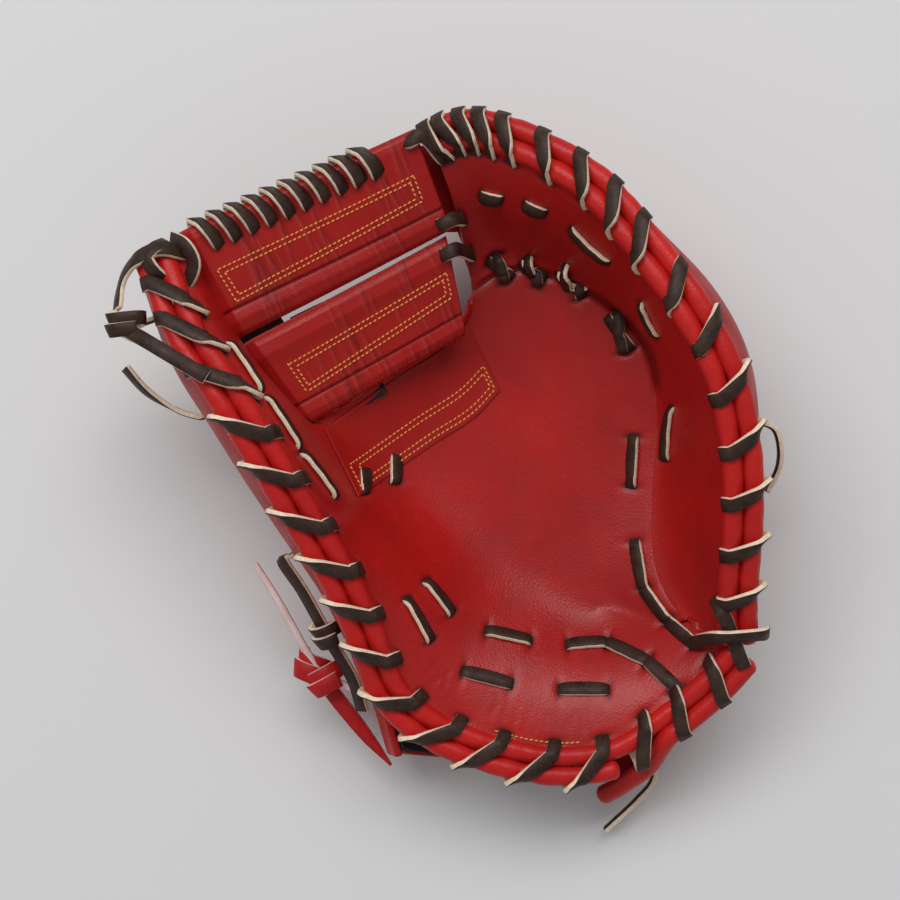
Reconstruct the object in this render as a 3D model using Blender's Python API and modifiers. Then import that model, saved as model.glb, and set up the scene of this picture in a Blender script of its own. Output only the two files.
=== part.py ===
"""A left-hand first base mitt, lying on its back with the pocket up.

The design is in millimetres and becomes metres when a mesh is made. +X points to the finger side, +Y from
the wrist to the finger tips and +Z out of the pocket. The finger half folds about a line from the web
corner to the notch in the rim.
"""

import math

import bmesh
import bpy
import numpy as np
from mathutils import Vector
from mathutils.bvhtree import BVHTree

MM = 0.001
UP = np.array([0.0, 0.0, 1.0])

WELD = 1e-6

# Heights in millimetres that the leather under a plan point is looked for from, and near if none lies below
FROM_ABOVE = 300.0
NEAR_PALM = 45.0

# Leather, padding and rolls
LEATHER = 2.4
LINING = 1.4
BASE_LEATHER = 2.0
ROLL_R = 4.3
ROLL_STEP = 7.0
ROLL_GAP = 0.4
LEATHER_GAP = 0.9
SEAM_GAP = 1.4
PAD_BELOW_LEATHER = 5.2
PALM_PAD = 8.0
FINGER_PAD = 5.0
LINING_GAP = 1.0
BACK_BULGE = 12.0

# Laces, and the slots cut for them
LACE_W = 5.4
LACE_T = 1.6
LACE_CLEAR = 1.1
LACE_STEP = 4.0
TAIL_STEP = 6.0
SEAM_SLACK = 1.0
RIDE = LACE_CLEAR + LACE_T / 2
REACH = LEATHER / 2 + RIDE
SLOT_PLAY = 2.0
SLOT_DEPTH = 9.0
HOLE_FROM_ROLL = 8.6
ROLL_TOP = ROLL_R + RIDE
KNOT_PLAY = 1.2
KNOT_EASE = 1.2
KNOT_LONG = 6.4
KNOT_CORNER = 30

# Share of a rim stitch's slant at which it lies on the back roll and on the palm roll, and its least turn
OVER_BACK = 0.35
OVER_PALM = 0.65
LEAST_TURN = 20.0

# The mitt's middle, which goes to the origin
MIDDLE = (2.4, -4.6)

# Rim of the thumb and heel half, from the thumb tip to the notch.
# x, y, z, lean of the leather below the roll, length of wall and of foot, place on the pocket line
THUMB_RIM = (
    (-120, 78, 96, 20, 5, 4, 0),
    (-106, 46, 101, 28, 8, 6, 0.8),
    (-89, 21, 102, 36, 11, 9, 1.6),
    (-73, -5, 98, 44, 18, 14, 2.3),
    (-58, -31, 91, 48, 26, 22, 3.2),
    (-45, -54, 83, 42, 30, 26, 3.9),
    (-35, -78, 73, 32, 32, 26, 4.5),
    (-26, -102, 63, 18, 34, 24, 5.05),
    (-8, -119, 57, 6, 36, 22, 5.55),
    (19, -130, 55, 2, 38, 22, 6.05),
    (47, -135, 54, 2, 38, 22, 6.5),
    (73, -131, 54, 4, 36, 20, 7),
    (93, -117, 57, 12, 30, 16, 7),
    (109, -99, 62, 26, 22, 12, 7),
    (117, -84, 66, 40, 14, 10, 7),
)
HEEL_TURN = 11

# Rim of the finger half, from the notch to the finger tip; the last number pairs it with the fold seam
FINGER_RIM = (
    (120.6, -75, 70, 62, 10, 5, 0.05),
    (119.4, -58, 79, 70, 22, 8, 0.17),
    (119.5, -29, 92, 76, 34, 10, 0.29),
    (117.4, 0, 101, 78, 38, 10, 0.40),
    (110, 30, 107, 78, 40, 10, 0.50),
    (96, 57, 108, 77, 40, 10, 0.60),
    (79, 81, 106, 73, 40, 10, 0.68),
    (60, 105, 102, 60, 36, 14, 0.75),
    (38.5, 120.4, 97, 45, 30, 18, 0.82),
    (16, 131, 92, 36, 26, 20, 0.90),
    (2, 135, 88, 30, 24, 22, 0.96),
    (-9, 134, 85.5, 26, 22, 22, 1.0),
)

# Seam between the palm and the finger panel, from the notch to the web corner
FOLD_SEAM = (
    (113, -80, 61),
    (104, -75.5, 54),
    (97, -67.5, 46),
    (91.5, -57, 41),
    (88.5, -40, 38),
    (89, -12, 36.5),
    (91, 12, 37.5),
    (86, 41, 40),
    (67, 63, 41),
    (41, 76, 42),
    (24, 77, 43),
    (10, 69, 44),
)
SEAM_WALL = 16.0
SEAM_RISE = 14.0
SEAM_FOOT = 18.0
SEAM_DROP = 0.3
FOOT_RISE = 0.25
NOTCH_SLOPE = 0.8
NOTCH_REACH = 60.0
SEAM_SMOOTH = 10.0

# The palm's free edge along the web, from the fold's corner to the thumb
WEB_EDGE = ((10, 69, 44), (8, 57, 44.5), (-4, 45, 45), (-24, 32, 47.5), (-42, 21, 54), (-53, 14, 60))
WEB_WALL = 30.0
WEB_FADE = 0.8

# Line that the palm's two sides meet on: the thumb's free edge, then the crease down to the heel.
# x, y, z, slope of the leather there, in degrees
POCKET_LINE = (
    (-104, 80, 90, 35),
    (-85, 43, 80, 35),
    (-58, 11, 62, 38),
    (-32, -8, 43, 32),
    (-8, -22, 34, 22),
    (15, -38, 30, 10),
    (38, -54, 28.5, 3),
    (62, -68, 29, 0),
)
FREE_EDGE_END = 2

# Part of the palm's right edge, round the heel and the notch, whose cuts all end at the pocket line's end
FAN_LENGTH = 100.0
FAN_COLUMNS = 1.75

# Columns and rows of the faces: the palm's columns are counted for each point of the pocket line
PALM_COLUMNS = 4
PALM_ROWS = (0, 0.08, 0.18, 0.3, 0.44, 0.58, 0.72, 0.86, 1)
FINGER_COLUMNS = 24
FINGER_ROWS = (0, 0.12, 0.28, 0.46, 0.64, 0.82, 1)
THUMB_BACK_COLUMNS = 18
FINGER_BACK_COLUMNS = 26
HEEL_BACK_COLUMNS = 9
BACK_ROWS = (0, 0.1, 0.22, 0.36, 0.5, 0.64, 0.8, 1)

# Share of each face's rows that the padding lies under
PALM_PAD_ROWS = (0.3, 0.75)
FINGER_PAD_ROWS = (0.3, 0.8)
PAD_ROWS = 6
PALM_PAD_COLUMNS = 2
FINGER_PAD_COLUMNS = 20

# The fold's axis, rising from the web corner to the notch
AXIS_WEB = np.array([9.5, 70.0, 44.5])
AXIS_NOTCH = np.array([107.0, -85.3, 69.0])

# Where the back leathers end under the mitt, one point for each rim point
BACK_FLOOR = -7.0
THUMB_BACK_EDGE = (
    (-48, 8, 34),
    (-42, 3, 18),
    (-30, -5, 4),
    (-12, -15, BACK_FLOOR),
    (5, -26, BACK_FLOOR),
    (8, -44, BACK_FLOOR),
    (0, -66, BACK_FLOOR),
    (-12, -88, BACK_FLOOR),
)
FINGER_BACK_EDGE = (
    (105.5, -78, BACK_FLOOR),
    (99, -69, BACK_FLOOR),
    (90, -55, BACK_FLOOR),
    (81, -40, BACK_FLOOR),
    (71, -24, BACK_FLOOR),
    (61, -8, BACK_FLOOR),
    (51, 8, BACK_FLOOR),
    (42, 24, BACK_FLOOR),
    (33, 39, BACK_FLOOR),
    (25, 53, 3),
    (18, 64, 14),
    (13.5, 71.5, 26),
)
HEEL_BACK_EDGE = (
    (88, -92, BACK_FLOOR),
    (83, -100, BACK_FLOOR),
    (75, -108, BACK_FLOOR),
    (66, -114, BACK_FLOOR),
    (58, -118, BACK_FLOOR),
)

# How far the back leathers drop from their rolls, and the share of the way in that they run flat
THUMB_BACK_DROP = (48, 0.62)
FINGER_BACK_DROP = (50, 0.66)
HEEL_BACK_DROP = (16, 0.6)

# The heel's back roll leaves the rim and turns down beside the hand opening
ROLL_END = 1.0
HEEL_ROLL_END = 316.0
WRIST_ROLL_TURN = 341.0
WRIST_ROLL_LOW = ((86, -136, 44), (76, -146, 33), (68, -152, 26))
WRIST_ROLL_POINTS = 18
HEEL_BACK_START = 2.0

# Whip stitches over the rim: the first, their number and spacing, and how far the palm end runs ahead
THUMB_FIRST = 9.0
THUMB_COUNT = 10
HEEL_COUNT = 4
FINGER_FIRST = 14.0
FINGER_COUNT = 11
THUMB_PITCH = 22.5
THUMB_SLANT = 19.0
HEEL_SLANT = 17.0
FINGER_PITCH = 22.0
FINGER_SLANT = -12.0
CORNER_STITCHES = ((349, 350), (368.5, 367))
TIP_STITCHES = ((279.6, 272.2), (271.4, 262.8), (263.2, 253.4), (255, 244))

# Running stitches on the palm, across the fold seam and on the finger panel, in plan
HEEL_PAD_STITCHES = (((16, -78), (35, -82.5)), ((26.5, -100.2), (5.6, -94.6)))
HEEL_LOW_STITCHES = (((47, -102.7), (67.6, -102.7)),)
THUMB_PAD_STITCHES = (((-18, -63), (-8, -81)), ((1, -70), (-10, -56)))
HEEL_HINGE_STITCHES = (((51, -84.6), (65.5, -83.8)), ((71, -84.7), (81.5, -89)), ((86.5, -92), (95.5, -100)))
HINGE_STITCHES = (((81, -40), (83.5, -56.5)), ((86.5, -64), (97, -77)))
POCKET_STITCHES = (((80, 6), (79, -16)),)
WEB_BASE_STITCHES = (((-36.5, -18), (-36.7, -8)), ((-23.5, -2), (-23.6, -14)))
SEAM_STITCHES = (((16, 84), (26, 70)), ((30, 84), (41, 69)), ((46, 81), (57, 63)), ((65, 58), (77, 40)))
FINGER_PAD_STITCHES = (
    ((13, 106), (21, 104)),
    ((31, 101.5), (39, 98)),
    ((50, 91), (65, 77.5)),
    ((79, 60.5), (86.4, 47.5)),
    ((95, 18), (93, -4)),
)
THUMB_EDGE_DASHES = ((0.97, 1.4), (1.5, 1.9))
THUMB_DASH = ((-60, -2), (-48, -19))
EDGE_OFFSET = 2.4
EDGE_LIFTS = (-5.5, 0.5, 1.5, 1.5, 0.5, -5.5)
EDGE_AHEAD = 0.05

# Laces over the notch: where they start, how far they ride over the rolls and how far down they end
NOTCH_START = (109, -79.5)
NOTCH_HEEL = 5.0
NOTCH_FINGER = 3.0
NOTCH_NEAR = 11.0
NOTCH_LOW_LIFT = 0.8
NOTCH_LIFT = 4.4
NOTCH_END_LIFT = 1.0
NOTCH_END_DROP = 3.0
NOTCH_END_BACK = (5.0, 7.0)

# Web bars by their corners: top left, top right, bottom right, bottom left
BAR_THICK = 6.0
BAR_HOLE = 8.0
BAR_SAG = 3.0
BAR_COLUMNS = 9
BAR_ROWS = 5
TOP_BAR = ((-103, 85.5, 94), (-17, 130, 90), (-3, 93, 74), (-84.5, 47.5, 81))
MIDDLE_BAR = ((-81.5, 45.5, 78.5), (-2, 87, 72), (5, 58, 57), (-56, 15, 63))
BASE_PANEL = ((-51, 11), (3, 47), (12, 34), (-42, -3))
BASE_LIFT = 3.6
BASE_COLUMNS = 10
WEB_STITCHES = 10
WEB_PITCH = 0.078
WEB_FIRST = 0.12
BAR_LIFT = BAR_THICK / 2 + RIDE

# Whip lace over the top bar's top edge; each row is how far along the stitch, down from the edge and off it
WHIP = (
    (0, BAR_HOLE, -BAR_LIFT),
    (0, BAR_HOLE, BAR_LIFT),
    (0.012, -0.5, BAR_LIFT),
    (0.02, -RIDE, 0.4 * BAR_LIFT),
    (0.03, -RIDE, -0.4 * BAR_LIFT),
    (0.04, -0.5, -BAR_LIFT),
)

# Links from the bars to the finger panel: the hole's share along the bar, its drop, and the panel's hole
TOP_LINK = (0.94, 9, (5.5, 116))
UPPER_LINK = (0.93, 32, (8, 95))
LOWER_LINK = (0.92, 9, (10, 79))
LINK_SLACK = 1.0

# Lace over the thumb tip: its place on the rim, its hole in the top bar, and how far down the back it ends
TIP_PLACE = 3.0
TIP_HOLE = (0.05, 10)
TIP_TURN = 120.0
TIP_DROP = 7.0

# Wrist strap: the line along its middle, outside
STRAP_THICK = 3.4
STRAP_WIDTH = 26.0
STRAP_LINE = (
    (-27, -120.5, 45),
    (-31, -121.5, 27),
    (-22, -124, 7),
    (5, -127, 0),
    (34, -131, 0),
    (52, -134, 5),
)
STRAP_ACROSS = (-0.3, 1.0, 0.0)
STRAP_POINTS = 14
STRAP_GAP = 0.5
STRAP_MARGIN = 4.0

# Loose ends: where each comes out of its leather, then the points it runs through
THUMB_TAIL = ((-122, 54, 82), ((-132, 49, 97), (-124, 45, 106), (-112, 38, 110.5), (-97, 29, 111)))
THUMB_TAIL_FLAT = (0.5, 0.86, 0.0)
FLAT_FROM = 4
THUMB_BACK_TAIL = ((-104, 15, 62), ((-116, 17, 58), (-129, 25, 57), (-138, 35, 58)))
WRIST_LACE = (
    (-60, -40, 58),
    ((-71, -47, 59), (-63, -59, 59), (-56, -72, 56), (-50, -84, 50), (-42, -99, 44), (-38, -113, 40)),
)
FINGER_TAIL = ((130, 12, 52), ((139, 10, 50), (144, 1, 47), (141, -9, 42), (134, -17, 37)))
HEEL_TAIL = ((88, -128, 22), ((91, -146, 16), (84, -157, 11), (70, -171, 8)))
RED_TAIL_UP = (
    (-39, -107, 33),
    (-48, -102, 35),
    (-57, -96.5, 35),
    (-63, -87, 38),
    (-74, -66, 44),
    (-84, -49, 45),
)
RED_TAIL_DOWN = ((-52, -106, 30), (-46, -114, 28), (-36, -127, 26), (-26, -139, 25))
RED_KNOT = ((-57, -96.5, 35), (-0.7, 0.7, 0.2))
WRIST_KNOT = ((-53, -78, 53), (0.47, -0.86, -0.2))


def unit(vector):
    return vector / np.linalg.norm(vector)


def flat(vector):
    return unit(np.array([vector[0], vector[1], 0.0]))


def smooth_row(rows, t):
    """The row at t on a smooth line through the rows, with t counted in rows."""
    last = len(rows) - 1
    i = int(min(max(math.floor(t), 0), last - 1))
    f = t - i
    before = rows[i - 1] if i else 2 * rows[0] - rows[1]
    a = rows[i]
    b = rows[i + 1]
    after = rows[i + 2] if i + 2 <= last else 2 * rows[last] - rows[last - 1]
    bend = 2 * before - 5 * a + 4 * b - after
    twist = 3 * a - before - 3 * b + after
    return 0.5 * (2 * a + (b - before) * f + bend * f * f + twist * f**3)


class Route:
    """A smooth line through a few rows of numbers, read by the distance along it."""

    def __init__(self, rows, steps=24):
        rows = np.array(rows, float)
        places = np.linspace(0, len(rows) - 1, (len(rows) - 1) * steps + 1)
        self.fine = np.array([smooth_row(rows, t) for t in places])
        gaps = np.linalg.norm(np.diff(self.fine[:, :3], axis=0), axis=1)
        self.far = np.concatenate([[0.0], np.cumsum(gaps)])
        self.places = places
        self.length = self.far[-1]

    def row(self, distance):
        return np.array([np.interp(distance, self.far, column) for column in self.fine.T])

    def along(self, distance, reach=2.0):
        ahead = self.row(min(distance + reach, self.length))[:3]
        behind = self.row(max(distance - reach, 0.0))[:3]
        return unit(ahead - behind)

    def distance(self, place):
        return float(np.interp(place, self.places, self.far))


def bezier(a, b, c, d, v):
    w = 1 - v
    return w**3 * a + 3 * w * w * v * b + 3 * w * v * v * c + v**3 * d


class RimSection:
    """The rim cut across at one place: the two rolls and the ways the two leathers leave them."""

    def __init__(self, rim, distance):
        row = rim.row(distance)
        lean = math.radians(row[3])
        bulge = math.radians(BACK_BULGE)
        self.along = rim.along(distance)
        self.out = flat(np.cross(self.along, UP))
        self.down = -math.cos(lean) * self.out - math.sin(lean) * UP
        self.under = math.sin(lean) * self.out - math.cos(lean) * UP
        self.lean, self.wall, self.foot, self.partner = row[3:7]
        half = ROLL_R + ROLL_GAP / 2
        self.palm_roll = row[:3] - half * self.out
        self.back_roll = row[:3] + half * self.out
        self.back_down = math.sin(bulge) * self.out - math.cos(bulge) * UP
        self.back_out = math.cos(bulge) * self.out + math.sin(bulge) * UP
        leave = ROLL_R + LEATHER_GAP
        self.palm_edge = self.palm_roll + leave * self.down - LEATHER / 2 * self.under
        self.back_edge = self.back_roll + leave * self.back_down + LEATHER / 2 * self.back_out


thumb_rim = Route(THUMB_RIM)
finger_rim = Route(FINGER_RIM)
rim_end = RimSection(thumb_rim, thumb_rim.length)
fold_seam = Route((tuple(rim_end.palm_edge),) + FOLD_SEAM[1:])


pocket_rows = np.array(POCKET_LINE, float)
web_edge = Route(WEB_EDGE)
right_edge_parts = [
    thumb_rim.length - thumb_rim.distance(HEEL_TURN),
    fold_seam.length,
    web_edge.length,
]


def palm_right_edge(walked):
    """The palm's edge at a distance from the heel's turn: the rim, the fold seam, then the web edge."""
    rim_left, seam_left, _ = right_edge_parts
    if walked <= rim_left:
        section = RimSection(thumb_rim, thumb_rim.distance(HEEL_TURN) + walked)
        return section.palm_edge, section.down[2], section.wall, section.foot
    walked -= rim_left
    if walked <= seam_left:
        notch = max(0.0, 1 - walked / NOTCH_REACH)
        drop = -SEAM_DROP - (NOTCH_SLOPE - SEAM_DROP) * notch
        return fold_seam.row(walked)[:3], drop, SEAM_WALL + SEAM_RISE * (1 - notch), SEAM_FOOT
    walked -= seam_left
    fade = 1 - WEB_FADE * walked / web_edge.length
    return web_edge.row(walked)[:3], -SEAM_DROP, WEB_WALL * fade, SEAM_FOOT * fade


def palm_column(place, walked=None):
    """The control points of the palm's cut from its edge to the pocket line; walked is for the right side."""
    row = smooth_row(pocket_rows, place)
    low = row[:3]
    slope = math.radians(row[3])
    if walked is None:
        section = RimSection(thumb_rim, rim_at_place(place))
        edge, down, wall, foot = section.palm_edge, section.down, section.wall, section.foot
    else:
        edge, drop, wall, foot = palm_right_edge(walked)
        down = math.sqrt(1 - drop * drop) * flat(low - edge) + drop * UP
        slope = -slope
    handle = edge + wall * down
    away = math.cos(slope) * flat(handle - low) + math.sin(slope) * UP
    return edge, handle, low + foot * away, low


def rim_at_place(place):
    """How far along the thumb's rim the cut starts that ends at this place of the pocket line."""
    stop = np.searchsorted(thumb_rim.places, HEEL_TURN) + 1
    return float(np.interp(place, thumb_rim.fine[:stop, 6], thumb_rim.far[:stop]))


def palm_grid(per_place, rows):
    """Points of the palm's face, column by column: down the thumb and heel side and back up the fold."""
    last = pocket_rows.shape[0] - 1
    places = np.linspace(0, last, last * per_place + 1)
    shared = places[FREE_EDGE_END * per_place :][::-1]
    fan = np.linspace(0, FAN_LENGTH, round(FAN_COLUMNS * per_place) + 1)
    beyond = np.linspace(FAN_LENGTH, sum(right_edge_parts), len(shared))
    cuts = [(place,) for place in places]
    cuts += [(last, walked) for walked in fan[1:]]
    cuts += list(zip(shared[1:], beyond[1:]))
    return np.array([[bezier(*palm_column(*cut), v) for v in rows] for cut in cuts])


def finger_grid(columns, rows):
    """Points of the finger panel's face, from the rim to the fold seam."""
    grid = []
    for i in range(columns + 1):
        section = RimSection(finger_rim, finger_rim.length * i / columns)
        distance = section.partner * fold_seam.length
        out = flat(np.cross(fold_seam.along(distance, SEAM_SMOOTH), UP))
        foot_end = fold_seam.row(distance)[:3] + SEAM_GAP * out
        handle = section.palm_edge + section.wall * section.down
        foot = foot_end + section.foot * unit(flat(handle - foot_end) + FOOT_RISE * UP)
        grid.append([bezier(section.palm_edge, handle, foot, foot_end, v) for v in rows])
    return np.array(grid)


def back_grid(starts, downs, edges, drop, rows):
    """Points of a back leather's outer face, from under its roll to its edge beneath the mitt."""
    wall, foot = drop
    grid = []
    for start, down, edge in zip(starts, downs, edges):
        low = np.array(edge, float)
        handle = start + wall * down
        reach = foot * np.linalg.norm((handle - low)[:2])
        controls = (start, handle, low + reach * flat(handle - low), low)
        column = [bezier(*controls, v) for v in rows]
        grid.append([np.array([p[0], p[1], max(p[2], 0.0)]) for p in column])
    return np.array(grid)


def grid_normals(grid):
    first = np.gradient(grid, axis=0)
    second = np.gradient(grid, axis=1)
    normals = np.cross(first, second)
    return normals / np.maximum(np.linalg.norm(normals, axis=2, keepdims=True), WELD)


def grid_tree(grid):
    """A tree of the grid's faces, for finding the leather under a point."""
    count = grid.shape[1]
    points = [Vector(p) for p in grid.reshape(-1, 3)]
    faces = []
    for i in range(grid.shape[0] - 1):
        for j in range(count - 1):
            a = i * count + j
            faces.append((a, a + count, a + count + 1, a + 1))
    return BVHTree.FromPolygons(points, faces)


def on_leather(tree, x, y):
    """The point of the leather's face straight below (x, y), and the way its face looks."""
    point, normal, _, _ = tree.ray_cast(Vector((x, y, FROM_ABOVE)), Vector((0, 0, -1)))
    if point is None:
        point, normal, _, _ = tree.find_nearest(Vector((x, y, NEAR_PALM)))
    normal = np.array(normal)
    if normal[2] < 0:
        normal = -normal
    return np.array(point), normal


for old in list(bpy.data.objects):
    bpy.data.objects.remove(old)

parts = bpy.data.collections.new("first_base_mitt")
cutters = bpy.data.collections.new("cutters")
bpy.context.scene.collection.children.link(parts)
bpy.context.scene.collection.children.link(cutters)


def empty(name, place):
    made = bpy.data.objects.new(name, None)
    parts.objects.link(made)
    made.location = Vector(place) * MM
    return made


mitt = empty("mitt", (-MIDDLE[0], -MIDDLE[1], 0))
fold = empty("pocket_fold", AXIS_WEB)
fold.parent = mitt


def material(name, colour, roughness):
    made = bpy.data.materials.new(name)
    made.use_nodes = True
    shader = made.node_tree.nodes["Principled BSDF"]
    shader.inputs["Base Color"].default_value = (*colour, 1)
    shader.inputs["Roughness"].default_value = roughness
    shader.inputs["Metallic"].default_value = 0
    return made


RED = material("red_leather", (0.33, 0.018, 0.014), 0.42)
DARK_RED = material("red_lace", (0.30, 0.012, 0.012), 0.5)
BROWN = material("brown_lace", (0.055, 0.026, 0.017), 0.5)
FELT = material("felt", (0.55, 0.50, 0.42), 0.9)
BLACK = material("black_lining", (0.012, 0.012, 0.013), 0.7)


def add_object(name, mesh, finish, body=None):
    made = bpy.data.objects.new(name, mesh)
    made.data.materials.append(finish)
    parts.objects.link(made)
    made.parent = mitt
    if body:
        made.parent = body
        made.location = -Vector(AXIS_WEB) * MM
    return made


def grid_mesh(name, grid, flip=False):
    bm = bmesh.new()
    columns = [[bm.verts.new(Vector(p) * MM) for p in column] for column in grid]
    for a, b in zip(columns, columns[1:]):
        for j in range(len(a) - 1):
            ring = (a[j], b[j], b[j + 1], a[j + 1])
            bm.faces.new(ring[::-1] if flip else ring)
    bmesh.ops.remove_doubles(bm, verts=bm.verts, dist=WELD)
    mesh = bpy.data.meshes.new(name)
    bm.to_mesh(mesh)
    bm.free()
    mesh.shade_smooth()
    return mesh


def sheet(name, grid, thick, finish, body=None, flip=False):
    """A leather or felt piece: its face as an open surface, with Solidify for what lies beneath."""
    made = add_object(name, grid_mesh(name, grid, flip), finish, body)
    solid = made.modifiers.new("thickness", "SOLIDIFY")
    solid.thickness = thick * MM
    solid.offset = -1
    solid.use_even_offset = True
    return made


def tube(name, points, radius, finish, body=None):
    """A round roll through the points."""
    curve = bpy.data.curves.new(name, "CURVE")
    curve.dimensions = "3D"
    curve.bevel_depth = radius * MM
    curve.bevel_resolution = 2
    curve.use_fill_caps = True
    spline = curve.splines.new("POLY")
    spline.points.add(len(points) - 1)
    for slot, point in zip(spline.points, points):
        slot.co = (*(np.array(point) * MM), 1)
    return add_object(name, curve, finish, body)


SLOTS = {}


def lace(name, points, sides, finish, body=None, width=LACE_W, thick=LACE_T):
    """A flat lace along the points, as a ribbon with Solidify; sides points across it at each."""
    grid = []
    for i, (point, side) in enumerate(zip(points, sides)):
        ahead = points[min(i + 1, len(points) - 1)]
        behind = points[max(i - 1, 0)]
        way = unit(ahead - behind)
        across = unit(side - np.dot(side, way) * way)
        grid.append([point - width / 2 * across, point + width / 2 * across])
    made = sheet(name, np.array(grid), thick, finish, body)
    made.modifiers["thickness"].offset = 0
    return made


def note_slot(leather, outside, inside, side):
    """Remembers where a lace goes through a leather."""
    way = unit(inside - outside)
    across = unit(side - np.dot(side, way) * way)
    SLOTS.setdefault(leather, []).append(((outside + inside) / 2, across, way))


def cut_slots(leather):
    """Cuts the leather's lace slots, all with one cutter of small boxes."""
    bm = bmesh.new()
    for middle, across, way in SLOTS.get(leather.name, []):
        box = bmesh.ops.create_cube(bm, size=1.0)["verts"]
        third = np.cross(across, way)
        for vert in box:
            a, b, c = vert.co
            place = middle + a * (LACE_W + SLOT_PLAY) * across + b * SLOT_DEPTH * way
            place = place + c * (LACE_T + SLOT_PLAY) * third
            vert.co = Vector(place) * MM
    bm.normal_update()
    bmesh.ops.recalc_face_normals(bm, faces=bm.faces)
    mesh = bpy.data.meshes.new(leather.name + "_slots")
    bm.to_mesh(mesh)
    bm.free()
    cutter = bpy.data.objects.new(leather.name + "_slots", mesh)
    cutters.objects.link(cutter)
    cutter.parent = leather.parent
    cutter.location = leather.location
    cutter.hide_render = True
    cutter.display_type = "WIRE"
    cut = leather.modifiers.new("slots", "BOOLEAN")
    cut.operation = "DIFFERENCE"
    cut.use_self = True
    cut.object = cutter


def around(section, middle, start, stop, count):
    """Points over a roll, by angle in the rim's cross-section from its outer side."""
    angles = np.radians(np.linspace(start, stop, count))
    return [middle + ROLL_TOP * (math.cos(a) * section.out + math.sin(a) * UP) for a in angles]


def rim_holes(section):
    """Both sides of the lace holes in the back leather and the palm leather: outside and inside."""
    back_hole = section.back_roll + HOLE_FROM_ROLL * section.back_down
    palm_hole = section.palm_roll + HOLE_FROM_ROLL * section.down
    back = back_hole + REACH * section.back_out, back_hole - REACH * section.back_out
    palm = palm_hole - REACH * section.under, palm_hole + REACH * section.under
    return back, palm


def rim_stitch(rim, outer, palm, palm_leather, back_leather):
    """One pass of the rim lace from its back hole at outer over both rolls to its palm hole at palm."""
    first = RimSection(rim, outer)
    last = RimSection(rim, palm)
    near_out = RimSection(rim, outer + OVER_BACK * (palm - outer))
    near_palm = RimSection(rim, outer + OVER_PALM * (palm - outer))
    (back_out, back_in), _ = rim_holes(first)
    _, (palm_out, palm_in) = rim_holes(last)
    note_slot(back_leather, back_out, back_in, first.along)
    note_slot(palm_leather, palm_out, palm_in, last.along)
    points = [back_in, back_out]
    points += around(near_out, near_out.back_roll, BACK_BULGE, 90, 3)
    points += around(near_palm, near_palm.palm_roll, 90, 90 + max(last.lean, LEAST_TURN), 3)
    points += [palm_out, palm_in]
    sides = [first.along] * 2 + [near_out.along] * 3 + [near_palm.along] * 3 + [last.along] * 2
    return points, sides


def rim_lace(name, rim, stitches, palm_leather, back_leather, body=None):
    """A whip lace over the rim; each stitch is its distance at the back hole and at the palm hole."""
    points = []
    sides = []
    left = None
    for outer, palm in stitches:
        if left is not None:
            for share in (0.25, 0.5, 0.75):
                between = RimSection(rim, left + share * (outer - left))
                (_, back_in), (_, palm_in) = rim_holes(between)
                points.append(palm_in + share * (back_in - palm_in))
                sides.append(between.along)
        more, across = rim_stitch(rim, outer, palm, palm_leather, back_leather)
        points += more
        sides += across
        left = palm
    return lace(name, points, sides, BROWN, body)


def steps_between(start, stop):
    """Plan points from start to stop, about a lace step apart."""
    start = np.array(start, float)
    stop = np.array(stop, float)
    count = max(2, round(np.linalg.norm(stop - start) / LACE_STEP) + 1)
    return [start + f * (stop - start) for f in np.linspace(0, 1, count)]


def surface_lace(name, stitches, find, body=None, taut=False):
    """A running lace; each stitch gives its two plan points, and find(x, y) the leather there."""
    points = []
    sides = []
    below = -LEATHER - RIDE - (SEAM_SLACK if taut else 0)

    def lay(plan, way, height):
        place, normal, leather = find(*plan)
        points.append(place + height * normal)
        sides.append(np.cross(normal, way))
        return leather

    left = None
    for start, stop in stitches:
        if left is not None:
            way = flat((start[0] - left[0], start[1] - left[1]))
            for plan in steps_between(left, start)[1:-1]:
                lay(plan, way, below)
        way = flat((stop[0] - start[0], stop[1] - start[1]))
        leather = lay(start, way, below)
        above = steps_between(start, stop)
        if taut:
            above = [above[0], above[-1]]
        lay(above[0], way, RIDE)
        note_slot(leather, points[-1], points[-2], sides[-1])
        for plan in above[1:]:
            leather = lay(plan, way, RIDE)
        lay(stop, way, below)
        note_slot(leather, points[-2], points[-1], sides[-1])
        left = stop
    return lace(name, points, sides, BROWN, body)


def rim_sections(rim, start, stop, count):
    return [RimSection(rim, d) for d in np.linspace(start, stop, count)]


def edge_points(edges, places):
    rows = np.array(edges, float)
    return [smooth_row(rows, t) for t in places]


# Palm leather: palm, thumb face and heel in one piece
palm_face = palm_grid(PALM_COLUMNS, PALM_ROWS)
palm_tree = grid_tree(palm_face)
palm = sheet("palm_leather", palm_face, LEATHER, RED)

# Finger panel, joined to the palm along the fold
finger_face = finger_grid(FINGER_COLUMNS, FINGER_ROWS)
finger_tree = grid_tree(finger_face)
finger_panel = sheet("finger_panel", finger_face, LEATHER, RED, fold)


def on_palm(x, y):
    return (*on_leather(palm_tree, x, y), "palm_leather")


def on_finger(x, y):
    return (*on_leather(finger_tree, x, y), "finger_panel")


def on_either(x, y):
    """The finger panel where it is, and otherwise the palm."""
    hit = finger_tree.ray_cast(Vector((x, y, FROM_ABOVE)), Vector((0, 0, -1)))[0]
    return on_finger(x, y) if hit else on_palm(x, y)


# Back leathers, flat where the mitt lies on them
def rim_back_face(rim, edges, count, drop):
    """Points of a back leather that hangs from the rim."""
    places = np.linspace(0, len(edges) - 1, count)
    sections = [RimSection(rim, rim.distance(t)) for t in places]
    starts = [s.back_edge for s in sections]
    downs = [s.back_down for s in sections]
    return back_grid(starts, downs, edge_points(edges, places), drop, BACK_ROWS)


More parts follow.
